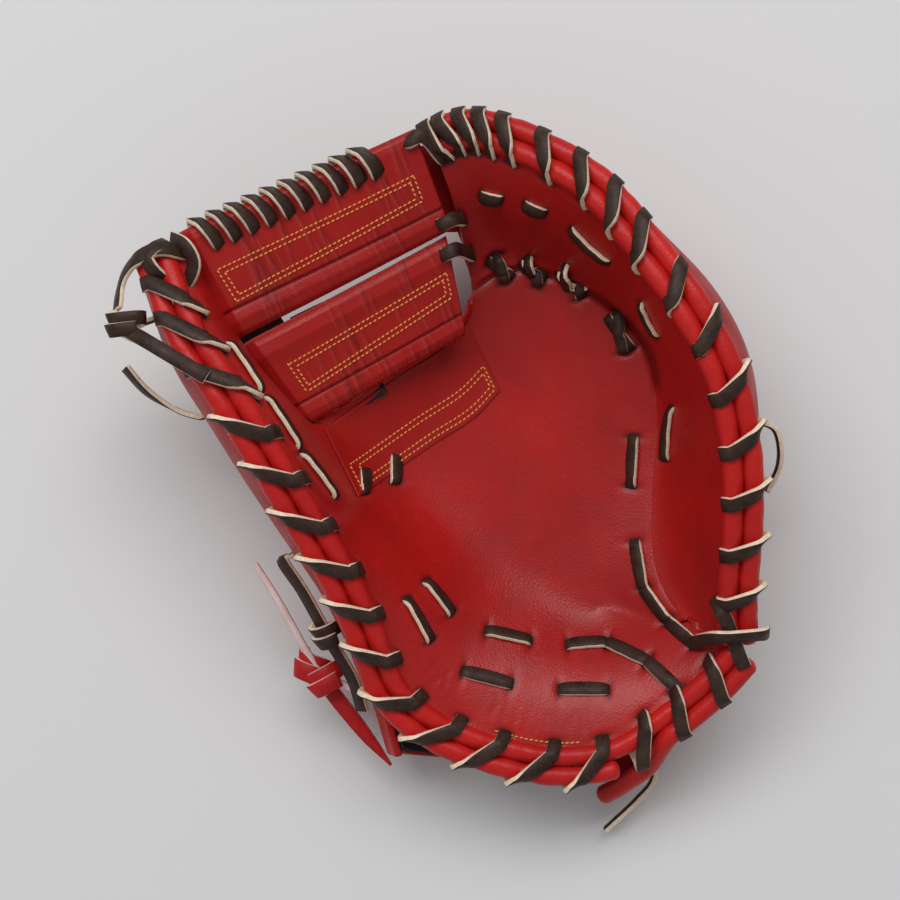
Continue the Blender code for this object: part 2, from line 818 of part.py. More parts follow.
thumb_back_face = rim_back_face(thumb_rim, THUMB_BACK_EDGE, THUMB_BACK_COLUMNS, THUMB_BACK_DROP)
thumb_back = sheet("thumb_back_leather", thumb_back_face, LEATHER, RED, flip=True)
finger_back_face = rim_back_face(finger_rim, FINGER_BACK_EDGE, FINGER_BACK_COLUMNS, FINGER_BACK_DROP)
finger_back = sheet("finger_back_leather", finger_back_face, LEATHER, RED, fold, flip=True)


# Rolls along the rim
def roll(name, rim, start, stop, side, body=None):
    count = max(2, round((stop - start) / ROLL_STEP))
    points = [getattr(s, side) for s in rim_sections(rim, start, stop, count)]
    return tube(name, points, ROLL_R, RED, body)


wrist_roll_top = thumb_rim.length - ROLL_END
roll("thumb_palm_roll", thumb_rim, 0, wrist_roll_top, "palm_roll")
roll("thumb_back_roll", thumb_rim, 0, HEEL_ROLL_END, "back_roll")
roll("finger_palm_roll", finger_rim, ROLL_END, finger_rim.length, "palm_roll", fold)
roll("finger_back_roll", finger_rim, ROLL_END, finger_rim.length, "back_roll", fold)

# Roll that turns down beside the hand opening, and the back leather under it
wrist_start = [s.back_roll for s in rim_sections(thumb_rim, wrist_roll_top, WRIST_ROLL_TURN, 5)]
wrist_route = Route((*wrist_start, *WRIST_ROLL_LOW))
wrist_points = [wrist_route.row(d)[:3] for d in np.linspace(0, wrist_route.length, WRIST_ROLL_POINTS)]
tube("wrist_corner_roll", wrist_points, ROLL_R, RED)

heel_starts = []
heel_downs = []
for d in np.linspace(HEEL_BACK_START, wrist_route.length - ROLL_END, HEEL_BACK_COLUMNS):
    along = wrist_route.along(d)
    out = flat(np.cross(-along, UP))
    below = unit(np.dot(UP, along) * along - UP)
    heel_starts.append(wrist_route.row(d)[:3] + (ROLL_R + LEATHER_GAP) * below + LEATHER / 2 * out)
    heel_downs.append(unit(math.sin(math.radians(BACK_BULGE)) * out - UP))
heel_edges = edge_points(HEEL_BACK_EDGE, np.linspace(0, len(HEEL_BACK_EDGE) - 1, HEEL_BACK_COLUMNS))
heel_back_face = back_grid(heel_starts, heel_downs, heel_edges, HEEL_BACK_DROP, BACK_ROWS)
heel_back = sheet("heel_back_leather", heel_back_face, LEATHER, RED)

# Rim laces, one whip stitch after another
thumb_ends = THUMB_FIRST + THUMB_PITCH * np.arange(THUMB_COUNT + HEEL_COUNT)
finger_ends = FINGER_FIRST + FINGER_PITCH * np.arange(FINGER_COUNT)[::-1]
thumb_stitches = [(d, d + THUMB_SLANT) for d in thumb_ends[:THUMB_COUNT]]
heel_stitches = [(d, d + HEEL_SLANT) for d in thumb_ends[THUMB_COUNT:]]
finger_stitches = [(d - FINGER_SLANT, d) for d in finger_ends]
rim_lace("thumb_edge_lace", thumb_rim, thumb_stitches, "palm_leather", "thumb_back_leather")
rim_lace("heel_edge_lace", thumb_rim, heel_stitches, "palm_leather", "no_leather")
rim_lace("wrist_corner_lace", thumb_rim, CORNER_STITCHES, "palm_leather", "heel_back_leather")
rim_lace("finger_edge_lace", finger_rim, finger_stitches, "finger_panel", "finger_back_leather", fold)
rim_lace("finger_tip_lace", finger_rim, TIP_STITCHES, "finger_panel", "finger_back_leather", fold)

# Laces that tie the padding to the palm and to the finger panel
surface_lace("heel_pad_lace", HEEL_PAD_STITCHES, on_palm)
surface_lace("heel_low_lace", HEEL_LOW_STITCHES, on_palm)
surface_lace("thumb_pad_lace", THUMB_PAD_STITCHES, on_palm)
surface_lace("heel_hinge_lace", HEEL_HINGE_STITCHES, on_palm)
surface_lace("hinge_lace", HINGE_STITCHES, on_palm)
surface_lace("pocket_lace", POCKET_STITCHES, on_palm)
surface_lace("web_base_lace", WEB_BASE_STITCHES, on_palm)
surface_lace("finger_pad_lace", FINGER_PAD_STITCHES, on_finger, fold)
surface_lace("seam_lace", SEAM_STITCHES, on_either, taut=True)

# Laces that cross the notch, one over the other
heel_end = RimSection(thumb_rim, thumb_rim.length - NOTCH_HEEL)
finger_start = RimSection(finger_rim, NOTCH_FINGER)
finger_near = RimSection(finger_rim, NOTCH_NEAR)
low = ROLL_TOP + NOTCH_LOW_LIFT
end = ROLL_TOP + NOTCH_END_LIFT
turn_back, end_back = NOTCH_END_BACK
low_points = [
    finger_near.palm_roll + low * unit(UP - 2 * finger_near.out),
    finger_near.palm_roll + low * unit(2 * UP - finger_near.out),
    finger_start.palm_roll + low * UP,
    heel_end.back_roll + low * UP,
    heel_end.back_roll - turn_back * heel_end.along + end * unit(UP + heel_end.out),
    heel_end.back_roll - end_back * heel_end.along + end * heel_end.out - NOTCH_END_DROP * UP,
]
low_sides = [finger_near.out + 2 * UP, 2 * finger_near.out + UP, finger_start.out, heel_end.out]
low_sides += [heel_end.along] * 2
lace("notch_lace_low", low_points, low_sides, BROWN)

notch_place, notch_normal, _ = on_palm(*NOTCH_START)
high = ROLL_TOP + NOTCH_LIFT
high_points = [
    notch_place + (RIDE + NOTCH_END_LIFT) * notch_normal,
    finger_start.palm_roll + high * unit(UP - finger_start.out),
    finger_start.palm_roll + high * UP,
    finger_start.back_roll + high * UP,
    finger_start.back_roll + high * unit(UP + finger_start.out),
    finger_start.back_roll + high * finger_start.out - NOTCH_END_DROP * UP,
]
lace("notch_lace_high", high_points, [finger_start.along] * len(high_points), BROWN)


# Padding under the palm and the finger panel, and the lining that the hand feels
def beneath(grid, depth):
    return grid - depth * grid_normals(grid)


PAD_DEPTH = LEATHER + PAD_BELOW_LEATHER
pad_grid = palm_grid(PALM_PAD_COLUMNS, np.linspace(*PALM_PAD_ROWS, PAD_ROWS))
palm_pads = beneath(pad_grid, PAD_DEPTH)
sheet("thumb_pad", palm_pads[6:10, :5], PALM_PAD, FELT)
sheet("heel_pad", palm_pads[11:15], PALM_PAD, FELT)
sheet("palm_lining", beneath(pad_grid, PAD_DEPTH + PALM_PAD + LINING_GAP)[6:15], LINING, BLACK)
finger_pad_grid = finger_grid(FINGER_PAD_COLUMNS, np.linspace(*FINGER_PAD_ROWS, PAD_ROWS))
finger_pads = beneath(finger_pad_grid, PAD_DEPTH)[4:17]
sheet("finger_pad", finger_pads[:, :5], FINGER_PAD, FELT, fold)
finger_lining = beneath(finger_pad_grid, PAD_DEPTH + FINGER_PAD + LINING_GAP)[4:17]
sheet("finger_lining", finger_lining[:, 1:4], LINING, BLACK, fold)


# Web: two bars of folded leather between the thumb and the fingers, and a base panel sewn on the palm
def patch(corners, columns, rows):
    """Points between four corners: top left, top right, bottom right, bottom left."""
    top_left, top_right, low_right, low_left = (np.array(c, float) for c in corners)
    grid = []
    for s in np.linspace(0, 1, columns):
        top = top_left + s * (top_right - top_left)
        low = low_left + s * (low_right - low_left)
        grid.append([low + v * (top - low) for v in np.linspace(0, 1, rows)])
    return np.array(grid)


def bar(name, corners):
    grid = patch(corners, BAR_COLUMNS, BAR_ROWS)
    for column, s in zip(grid, np.linspace(0, 1, BAR_COLUMNS)):
        column -= BAR_SAG * 4 * s * (1 - s) * UP
    made = sheet(name, grid, BAR_THICK, RED)
    made.modifiers["thickness"].offset = 0
    return grid, made


top_grid, top_bar = bar("web_top_bar", TOP_BAR)
middle_grid, middle_bar = bar("web_middle_bar", MIDDLE_BAR)
base_face = []
for column in patch([(x, y, 0) for x, y in BASE_PANEL], BASE_COLUMNS, BAR_ROWS):
    found = [on_palm(x, y) for x, y, _ in column]
    base_face.append([place + BASE_LIFT * normal for place, normal, _ in found])
sheet("web_base_panel", np.array(base_face), BASE_LEATHER, RED)

def bar_point(grid, s, drop, lift):
    """A point s of the way along a bar, drop below its top edge and lift off its middle."""
    columns = grid.shape[0] - 1
    i = min(int(s * columns), columns - 1)
    f = s * columns - i
    top = grid[i, -1] * (1 - f) + grid[i + 1, -1] * f
    low = grid[i, 0] * (1 - f) + grid[i + 1, 0] * f
    along = unit(grid[i + 1, -1] - grid[i, -1])
    down = unit(low - top)
    normal = unit(np.cross(along, -down))
    return top + drop * down + lift * normal, along


# Whip lace over the top bar's top edge
web_points = []
web_sides = []
for i in range(WEB_STITCHES):
    first = WEB_FIRST + WEB_PITCH * i
    stitch = [bar_point(top_grid, first + shift, drop, lift) for shift, drop, lift in WHIP]
    web_points += [point for point, _ in stitch]
    web_sides += [along for _, along in stitch]
    note_slot("web_top_bar", stitch[1][0], stitch[0][0], stitch[0][1])
lace("web_top_lace", web_points, web_sides, BROWN)

# Running lace that ties the bars to the thumb: on edge along its free edge, then flat on the palm
dash_points = []
dash_sides = []
for first, last in THUMB_EDGE_DASHES:
    for place, lift in zip(np.linspace(first, last, len(EDGE_LIFTS)), EDGE_LIFTS):
        here = smooth_row(pocket_rows, place)[:3]
        ahead = smooth_row(pocket_rows, place + EDGE_AHEAD)[:3]
        right = flat(np.cross(UP, ahead - here))
        dash_points.append(here + EDGE_OFFSET * right + lift * UP)
        dash_sides.append(UP)
lace("web_thumb_lace", dash_points, dash_sides, BROWN)
surface_lace("thumb_dash_lace", (THUMB_DASH,), on_palm)


# Short links from the bars to the finger panel's free edge
def web_link(name, grid, bar_name, share, drop, finger):
    """A lace from a bar's right end to a hole in the finger panel."""
    front, along = bar_point(grid, share, drop, BAR_LIFT)
    behind, _ = bar_point(grid, share, drop, -BAR_LIFT)
    corner, _ = bar_point(grid, 1.0, drop, BAR_LIFT + LINK_SLACK)
    corner = corner + BAR_LIFT * along
    place, normal, leather = on_finger(*finger)
    above = place + RIDE * normal
    below = place - (LEATHER + RIDE) * normal
    side = unit(np.cross(UP, above - front))
    note_slot(bar_name, front, behind, side)
    note_slot(leather, above, below, side)
    points = [behind, front, corner, above, below]
    return lace(name, points, [side] * len(points), BROWN)


web_link("web_link_top", top_grid, "web_top_bar", *TOP_LINK)
web_link("web_link_upper", top_grid, "web_top_bar", *UPPER_LINK)
web_link("web_link_lower", middle_grid, "web_middle_bar", *LOWER_LINK)

# Lace from the top bar over the thumb tip
tip = RimSection(thumb_rim, TIP_PLACE)
tip_front, _ = bar_point(top_grid, *TIP_HOLE, BAR_LIFT)
tip_behind, _ = bar_point(top_grid, *TIP_HOLE, -BAR_LIFT)
note_slot("web_top_bar", tip_front, tip_behind, tip.along)
tip_points = [tip_behind, tip_front]
tip_points += around(tip, tip.palm_roll, TIP_TURN, 90, 2)
tip_points += around(tip, tip.back_roll, 90, BACK_BULGE, 3)
tip_points += [tip.back_roll + ROLL_TOP * tip.back_out + TIP_DROP * tip.back_down]
lace("thumb_tip_lace", tip_points, [tip.along] * len(tip_points), BROWN)

# Wrist strap under the heel, lined on the side of the hand
strap_route = Route(STRAP_LINE)


def strap_face(inset, width):
    grid = []
    for d in np.linspace(0, strap_route.length, STRAP_POINTS):
        way = strap_route.along(d)
        across = np.array(STRAP_ACROSS)
        across = unit(across - np.dot(across, way) * way)
        middle = strap_route.row(d)[:3]
        middle[2] = max(middle[2], 0.0)
        middle = middle + inset * unit(np.cross(way, across))
        grid.append([middle - width / 2 * across, middle + width / 2 * across])
    grid = np.array(grid)
    grid[:, :, 2] = np.maximum(grid[:, :, 2], inset)
    return grid


sheet("wrist_strap", strap_face(0, STRAP_WIDTH), STRAP_THICK, RED, flip=True)
strap_inside = strap_face(STRAP_THICK + STRAP_GAP, STRAP_WIDTH - STRAP_MARGIN)
sheet("strap_lining", strap_inside, LINING, BLACK, flip=True)

# Loose lace ends, each out of a slot in a back leather
trees = {
    "thumb_back_leather": grid_tree(thumb_back_face),
    "finger_back_leather": grid_tree(finger_back_face),
    "heel_back_leather": grid_tree(heel_back_face),
}


def tail_points(route):
    """Points along a loose end, about a step apart."""
    count = 2 + round(route.length / TAIL_STEP)
    return [route.row(d)[:3] for d in np.linspace(0, route.length, count)]


def loose_end(name, leather, course, finish=BROWN, body=None, flat_side=None):
    """A lace out of a slot in a leather and on through the course's points, turned to lie flat where told."""
    hole, further = course
    place, normal, _, _ = trees[leather].find_nearest(Vector(hole))
    place = np.array(place)
    normal = np.array(normal)
    first = np.array(further[0], float)
    if np.dot(normal, first - place) < 0:
        normal = -normal
    points = [place - (LEATHER + RIDE) * normal, place + RIDE * normal]
    route = Route([points[1]] + [np.array(p, float) for p in further])
    points += tail_points(route)[1:]
    side = UP - np.dot(UP, normal) * normal
    note_slot(leather, points[1], points[0], side)
    sides = [side] * len(points)
    if flat_side:
        sides[FLAT_FROM:] = [np.array(flat_side)] * (len(points) - FLAT_FROM)
    return lace(name, points, sides, finish, body)


def free_lace(name, course, finish):
    """A lace through the points, standing on its edge."""
    points = tail_points(Route(course))
    return lace(name, points, [UP] * len(points), finish)


def knot(name, middle, way, finish):
    """A turn of lace drawn tight round another lace that stands on its edge."""
    way = unit(np.array(way, float))
    across = unit(np.cross(way, UP))
    rise = np.cross(across, way)
    half = KNOT_EASE * (LACE_T / 2 + KNOT_PLAY + LACE_T / 2)
    tall = KNOT_EASE * (LACE_W / 2 + KNOT_PLAY + LACE_T / 2)
    ring = []
    for turn in np.radians(np.arange(0, 360 + KNOT_CORNER, KNOT_CORNER)):
        corner = half * math.cos(turn) * across + tall * math.sin(turn) * rise
        ring.append(np.array(middle) + corner)
    grid = np.array([[p - KNOT_LONG / 2 * way, p + KNOT_LONG / 2 * way] for p in ring])
    made = sheet(name, grid, LACE_T, finish)
    made.modifiers["thickness"].offset = 0
    return made


loose_end("thumb_tail", "thumb_back_leather", THUMB_TAIL, flat_side=THUMB_TAIL_FLAT)
loose_end("thumb_back_tail", "thumb_back_leather", THUMB_BACK_TAIL)
loose_end("wrist_lace", "thumb_back_leather", WRIST_LACE)
loose_end("finger_tail", "finger_back_leather", FINGER_TAIL, body=fold)
loose_end("heel_tail", "heel_back_leather", HEEL_TAIL)
free_lace("red_tail_up", RED_TAIL_UP, DARK_RED)
free_lace("red_tail_down", RED_TAIL_DOWN, DARK_RED)
knot("red_knot", *RED_KNOT, DARK_RED)
knot("wrist_knot", *WRIST_KNOT, BROWN)

for piece in (palm, finger_panel, thumb_back, heel_back, finger_back, top_bar, middle_bar):
    cut_slots(piece)
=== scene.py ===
"""A left-hand first base mitt on its back with the pocket up, dressed piece by piece around its solids."""

import math

import bpy
import numpy as np
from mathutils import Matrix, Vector
from mathutils.bvhtree import BVHTree

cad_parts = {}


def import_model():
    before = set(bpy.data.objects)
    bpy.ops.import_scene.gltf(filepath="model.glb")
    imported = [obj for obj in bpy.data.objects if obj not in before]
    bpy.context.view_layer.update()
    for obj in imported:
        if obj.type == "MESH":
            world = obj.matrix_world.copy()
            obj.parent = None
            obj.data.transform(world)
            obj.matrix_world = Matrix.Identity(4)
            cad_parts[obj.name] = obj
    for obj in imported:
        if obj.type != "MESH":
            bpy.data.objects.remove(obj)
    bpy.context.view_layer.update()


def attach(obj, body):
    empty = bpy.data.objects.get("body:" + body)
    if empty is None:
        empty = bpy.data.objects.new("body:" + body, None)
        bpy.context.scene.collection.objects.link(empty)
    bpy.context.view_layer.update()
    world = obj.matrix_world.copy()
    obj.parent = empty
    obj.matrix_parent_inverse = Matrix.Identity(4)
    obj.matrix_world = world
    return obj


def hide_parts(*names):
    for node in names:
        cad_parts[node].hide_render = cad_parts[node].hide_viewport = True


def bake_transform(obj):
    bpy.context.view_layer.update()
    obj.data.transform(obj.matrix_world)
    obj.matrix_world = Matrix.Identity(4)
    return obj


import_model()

# The mitt lies on a pale grey table top under one wide soft lamp and an even room light, and the camera
# hangs straight above it. The table, the lamp and the room are stage and no part of the mitt.
MM = 0.001
UP = np.array([0.0, 0.0, 1.0])
MIDDLE = np.array([2.4, -4.6, 0.0])
CAMERA_HEIGHT = 900.0
CAMERA_LENS = 79.24
CAMERA_SENSOR = 36.0
CAMERA_NEAR = 0.01
TABLE_HALF = 6.0
TABLE_DROP = 0.4
TABLE_SIGNS = ((-1, -1), (1, -1), (1, 1), (-1, 1))
TABLE_GREY = (0.70, 0.695, 0.695, 1)
TABLE_ROUGH = 0.8
TABLE_GLEAM = 0.1
ROOM_GREY = (0.98, 0.985, 1.0, 1)
ROOM_LIGHT = 0.37
ROOM_SEEN = (0.68, 0.68, 0.685, 1)
LAMP_PLACE = (-350.0, 1350.0, 2400.0)
LAMP_WIDE = 3.2
LAMP_TALL = 1.0
LAMP_WATTS = 60.0


def world(points):
    """Design millimetres to metres in the frame."""
    return (np.asarray(points, float) - MIDDLE) * MM


scene = bpy.context.scene
scene.view_settings.view_transform = "Standard"

camera = bpy.data.objects.new("camera", bpy.data.cameras.new("camera"))
camera.data.lens = CAMERA_LENS
camera.data.sensor_width = CAMERA_SENSOR
camera.data.clip_start = CAMERA_NEAR
camera.location = world((0, 0, CAMERA_HEIGHT))
scene.collection.objects.link(camera)
scene.camera = camera

table_mesh = bpy.data.meshes.new("table_top")
table_corners = [(sx * TABLE_HALF, sy * TABLE_HALF, -TABLE_DROP * MM) for sx, sy in TABLE_SIGNS]
table_mesh.from_pydata(table_corners, [], [(0, 1, 2, 3)])
table_top = bpy.data.objects.new("table_top", table_mesh)
scene.collection.objects.link(table_top)
table_paint = bpy.data.materials.new("table_paint")
table_paint.use_nodes = True
table_sockets = table_paint.node_tree.nodes["Principled BSDF"].inputs
table_sockets["Base Color"].default_value = TABLE_GREY
table_sockets["Roughness"].default_value = TABLE_ROUGH
table_sockets["Specular IOR Level"].default_value = TABLE_GLEAM
table_mesh.materials.append(table_paint)

lamp = bpy.data.objects.new("soft_lamp", bpy.data.lights.new("soft_lamp", "AREA"))
lamp.data.shape = "RECTANGLE"
lamp.data.size = LAMP_WIDE
lamp.data.size_y = LAMP_TALL
lamp.data.energy = LAMP_WATTS
lamp.location = world(LAMP_PLACE)
lamp.rotation_euler = (-lamp.location).to_track_quat("-Z", "Y").to_euler()
scene.collection.objects.link(lamp)

room = bpy.data.worlds.new("room")
scene.world = room
room.use_nodes = True
room_nodes = room.node_tree.nodes
room_links = room.node_tree.links
room_light = room_nodes["Background"]
room_light.inputs["Color"].default_value = ROOM_GREY
room_light.inputs["Strength"].default_value = ROOM_LIGHT
room_seen = room_nodes.new("ShaderNodeBackground")
room_seen.inputs["Color"].default_value = ROOM_SEEN
room_path = room_nodes.new("ShaderNodeLightPath")
room_mix = room_nodes.new("ShaderNodeMixShader")
room_links.new(room_path.outputs["Is Camera Ray"], room_mix.inputs[0])
room_links.new(room_light.outputs[0], room_mix.inputs[1])
room_links.new(room_seen.outputs[0], room_mix.inputs[2])
room_links.new(room_mix.outputs[0], room_nodes["World Output"].inputs["Surface"])

# The rim is the line that the whole mitt is cut to: the palm leather and the back leathers are hung from it
# and laced over two rolls. Each row gives its place, the lean of the palm leather, how far that leather runs
# straight below the roll and level at its foot, and the place it pairs with further in.
LEATHER = 2.4
ROLL_R = 4.3
ROLL_GAP = -0.4
LEATHER_GAP = 0.9
ROLL_TUCK = 1.2
# How far the backs stand out: degrees at the ends, degrees more at the swell, its place and its spread
THUMB_BULGE = (12.0, 19.0, 90.0, 90.0)
FINGER_BULGE = (12.0, 24.0, 140.0, 50.0)
THUMB_RIM = (
    (-120, 78, 96, 20, 5, 4, 0),
    (-106, 46, 101, 28, 8, 6, 0.8),
    (-89, 21, 102, 36, 11, 9, 1.6),
    (-73, -5, 98, 44, 18, 14, 2.3),
    (-58, -31, 91, 48, 26, 22, 3.2),
    (-45, -54, 83, 42, 30, 26, 3.9),
    (-35, -78, 73, 32, 32, 26, 4.5),
    (-26, -102, 63, 18, 34, 24, 5.05),
    (-8, -119, 57, 6, 36, 22, 5.55),
    (19, -130, 55, 2, 38, 22, 6.05),
    (47, -135, 54, 2, 38, 22, 6.5),
    (73, -131, 54, 4, 36, 20, 7),
    (93, -117, 57, 12, 30, 16, 7),
    (110.5, -101.5, 62, 26, 22, 12, 7),
    (123, -87, 66, 40, 14, 10, 7),
)
HEEL_TURN = 11
FINGER_RIM = (
    (120.9, -80, 67.5, 60, 8, 4, 0.05),
    (119.4, -58, 79, 70, 22, 8, 0.17),
    (119.5, -29, 92, 76, 34, 10, 0.29),
    (117.4, 0, 101, 78, 38, 10, 0.40),
    (110, 30, 107, 78, 40, 10, 0.50),
    (96, 57, 108, 77, 40, 10, 0.60),
    (79, 81, 106, 73, 40, 10, 0.68),
    (60, 105, 102, 60, 36, 14, 0.75),
    (38.5, 120.4, 97, 45, 30, 18, 0.82),
    (16, 130.3, 92, 36, 26, 20, 0.90),
    (2, 131, 88, 30, 24, 22, 0.96),
    (-8.5, 126.5, 85, 26, 22, 22, 1.0),
)


def unit(vector):
    return vector / np.linalg.norm(vector, axis=-1, keepdims=True)


def flat(vector):
    return unit(np.array([vector[0], vector[1], 0.0]))


def smooth_row(rows, t):
    """The row at t on a smooth line through the rows, with t counted in rows."""
    last = len(rows) - 1
    i = int(min(max(math.floor(t), 0), last - 1))
    f = t - i
    before = rows[i - 1] if i else 2 * rows[0] - rows[1]
    a = rows[i]
    b = rows[i + 1]
    after = rows[i + 2] if i + 2 <= last else 2 * rows[last] - rows[last - 1]
    bend = 2 * before - 5 * a + 4 * b - after
    twist = 3 * a - before - 3 * b + after
    return 0.5 * (2 * a + (b - before) * f + bend * f * f + twist * f**3)


class Route:
    """A smooth line through a few rows of numbers, read by the distance along it."""

    def __init__(self, rows, steps=24, bulge=None):
        rows = np.array(rows, float)
        self.bulge = bulge
        self.places = np.linspace(0, len(rows) - 1, (len(rows) - 1) * steps + 1)
        self.fine = np.array([smooth_row(rows, t) for t in self.places])
        gaps = np.linalg.norm(np.diff(self.fine[:, :3], axis=0), axis=1)
        self.far = np.concatenate([[0.0], np.cumsum(gaps)])
        self.length = self.far[-1]

    def row(self, distance):
        return np.array([np.interp(distance, self.far, column) for column in self.fine.T]).T

    def along(self, distance, reach=2.0):
        ahead = self.row(min(distance + reach, self.length))[:3]
        behind = self.row(max(distance - reach, 0.0))[:3]
        return unit(ahead - behind)

    def distance(self, place):
        return float(np.interp(place, self.places, self.far))

    def points(self, step):
        """Rows along the whole line, about a step apart."""
        count = max(2, round(self.length / step) + 1)
        return self.row(np.linspace(0, self.length, count))


class RimSection:
    """The rim cut across at one place: the two rolls and the ways the two leathers leave them."""

    def __init__(self, rim, distance):
        row = rim.row(distance)
        lean = math.radians(row[3])
        base, swell, middle, spread = rim.bulge
        bulge = math.radians(base + swell * math.exp(-(((distance - middle) / spread) ** 2)))
        self.along = rim.along(distance)
        self.out = flat(np.cross(self.along, UP))
        self.down = -math.cos(lean) * self.out - math.sin(lean) * UP
        self.under = math.sin(lean) * self.out - math.cos(lean) * UP
        self.lean, self.wall, self.foot, self.partner = row[3:7]
        half = ROLL_R + ROLL_GAP / 2
        self.palm_roll = row[:3] - half * self.out
        self.back_roll = row[:3] + half * self.out
        self.back_down = math.sin(bulge) * self.out - math.cos(bulge) * UP
        self.back_out = math.cos(bulge) * self.out + math.sin(bulge) * UP
        leave = ROLL_R - ROLL_TUCK
        self.palm_edge = self.palm_roll + leave * self.down - LEATHER / 2 * self.under
        self.back_edge = self.back_roll + leave * self.back_down + LEATHER / 2 * self.back_out


thumb_rim = Route(THUMB_RIM, bulge=THUMB_BULGE)
finger_rim = Route(FINGER_RIM, bulge=FINGER_BULGE)

# Palm leather: palm, thumb face and heel in one piece of red steerhide, smooth side up. It is cut on a line
# through the pocket, stretched over the padding, and its free edges show the cut thickness.
FOLD_SEAM = (
    (104, -75.5, 54),
    (97, -67.5, 46),
    (91.5, -57, 41),
    (88.5, -40, 38),
    (89, -12, 36.5),
    (91, 12, 37.5),
    (86, 41, 40),
    (67, 63, 41),
    (41, 76, 42),
    (24, 77, 43),
    (10, 69, 44),
)
SEAM_WALL = 16.0
SEAM_RISE = 14.0
SEAM_FOOT = 18.0
SEAM_DROP = 0.3
NOTCH_SLOPE = 0.8
NOTCH_REACH = 60.0
WEB_EDGE = ((10, 69, 44), (8, 57, 44.5), (-4, 45, 45), (-24, 32, 47.5), (-42, 21, 54), (-53, 14, 60))
WEB_WALL = 30.0
WEB_FADE = 0.8
POCKET_LINE = (
    (-104, 80, 90, 35),
    (-85, 43, 80, 35),
    (-58, 11, 62, 38),
    (-32, -8, 43, 32),
    (-8, -22, 34, 22),
    (15, -38, 30, 10),
    (38, -54, 28.5, 3),
    (62, -68, 29, 0),
)
FREE_EDGE_END = 2
FAN_LENGTH = 100.0
FAN_COLUMNS = 1.75
PALM_FINE = 34
PALM_ROWS = 96
PALM_PASSES = 420
RED = (0.45, 0.0115, 0.0095)
DEEP_RED = (0.30, 0.0075, 0.0065)
# Colour of the paler ridges and of the painted highlight beside the web's creases
PALE_RED = (0.62, 0.16, 0.13)
# Colour of the painted shade in lace slits, creases and the fold seam
PAINTED_SHADE_COLOUR = (0.018, 0.004, 0.004)
THUMB = "thumb_side"
FINGER = "finger_side"


class Finish:
    """A finish wired node after node: each call adds a node, and a socket given as an input is linked."""

    def __init__(self, name, **constants):
        self.material = bpy.data.materials.new(name)
        self.material.use_nodes = True
        self.tree = self.material.node_tree
        self.shader = self.tree.nodes["Principled BSDF"]
        for key, value in constants.items():
            self.shader.inputs[key.replace("_", " ")].default_value = value
        self.place = self.add("ShaderNodeTexCoord").outputs["Object"]

    def add(self, kind, inputs=(), **settings):
        node = self.tree.nodes.new(kind)
        for key, value in settings.items():
            setattr(node, key, value)
        for key, value in dict(inputs).items():
            if isinstance(value, bpy.types.NodeSocket):
                self.tree.links.new(value, node.inputs[key])
            else:
                node.inputs[key].default_value = value
        return node

    def noise(self, scale, detail=3.0, rough=0.5, place=None):
        inputs = {"Vector": place or self.place, "Scale": scale, "Detail": detail, "Roughness": rough}
        return self.add("ShaderNodeTexNoise", inputs).outputs["Fac"]

    def cells(self, scale, feature="DISTANCE_TO_EDGE"):
        inputs = {"Vector": self.place, "Scale": scale}
        return self.add("ShaderNodeTexVoronoi", inputs, feature=feature).outputs["Distance"]

    def span(self, value, low, high, to_low=0.0, to_high=1.0):
        inputs = {"Value": value, 1: low, 2: high, 3: to_low, 4: to_high}
        return self.add("ShaderNodeMapRange", inputs).outputs[0]

    def mark(self, name):
        return self.add("ShaderNodeAttribute", attribute_name=name).outputs["Fac"]

    def mix(self, share, first, second):
        colours = [c if isinstance(c, bpy.types.NodeSocket) else (*c, 1) for c in (first, second)]
        inputs = {0: share, 6: colours[0], 7: colours[1]}
        return self.add("ShaderNodeMix", inputs, data_type="RGBA").outputs[2]

    def bump(self, height, strength, distance, normal=None):
        inputs = {"Height": height, "Strength": strength, "Distance": distance}
        if normal:
            inputs["Normal"] = normal
        return self.add("ShaderNodeBump", inputs).outputs[0]

    def wire(self, **sockets):
        for key, socket in sockets.items():
            self.tree.links.new(socket, self.shader.inputs[key.replace("_", " ")])
        return self.material


def red_leather(name, red=RED, deep=DEEP_RED, grain=620.0, shine=0.40, gleam=0.24):
    """Drum-dyed hide: cloudy red, fine pebble grain, painted shade in holes and creases, and painted paler on
    pressed ridges and as a highlight beside the web's creases.
    """
    finish = Finish(name, Specular_IOR_Level=gleam)
    cloud = finish.span(finish.noise(16.0, 4.0, 0.6), 0.36, 0.68)
    fleck = finish.span(finish.noise(520.0, 2.0), 0.35, 0.8, 0.0, 0.35)
    colour = finish.mix(cloud, red, deep)
    colour = finish.mix(fleck, colour, deep)
    # Paler on the ridges of pressed lines, and a painted highlight on one side of each web crease
    colour = finish.mix(finish.mark("rubbed"), colour, PALE_RED)
    # Painted shade in the lace slits and along creases and the fold seam
    colour = finish.mix(finish.mark("dark"), colour, PAINTED_SHADE_COLOUR)
    pebble = finish.bump(finish.span(finish.cells(grain), 0.0, 0.35), 0.22, 0.00022)
    pores = finish.bump(finish.noise(1500.0, 2.0), 0.12, 0.00015, pebble)
    folds = finish.bump(finish.noise(95.0, 3.0), 0.16, 0.0011, pores)
    gloss = finish.span(finish.noise(60.0, 3.0), 0.3, 0.7, shine - 0.05, shine + 0.1)
    return finish.wire(Base_Color=colour, Roughness=gloss, Normal=folds)


def bezier(a, b, c, d, v):
    v = np.asarray(v, float)[:, None]
    w = 1 - v
    return w**3 * a + 3 * w * w * v * b + 3 * w * v * v * c + v**3 * d


rim_end = RimSection(thumb_rim, thumb_rim.length)
fold_seam = Route((tuple(rim_end.palm_edge),) + FOLD_SEAM)
web_edge = Route(WEB_EDGE)
pocket_rows = np.array(POCKET_LINE, float)
heel_turn = thumb_rim.distance(HEEL_TURN)
right_edge_parts = (thumb_rim.length - heel_turn, fold_seam.length, web_edge.length)


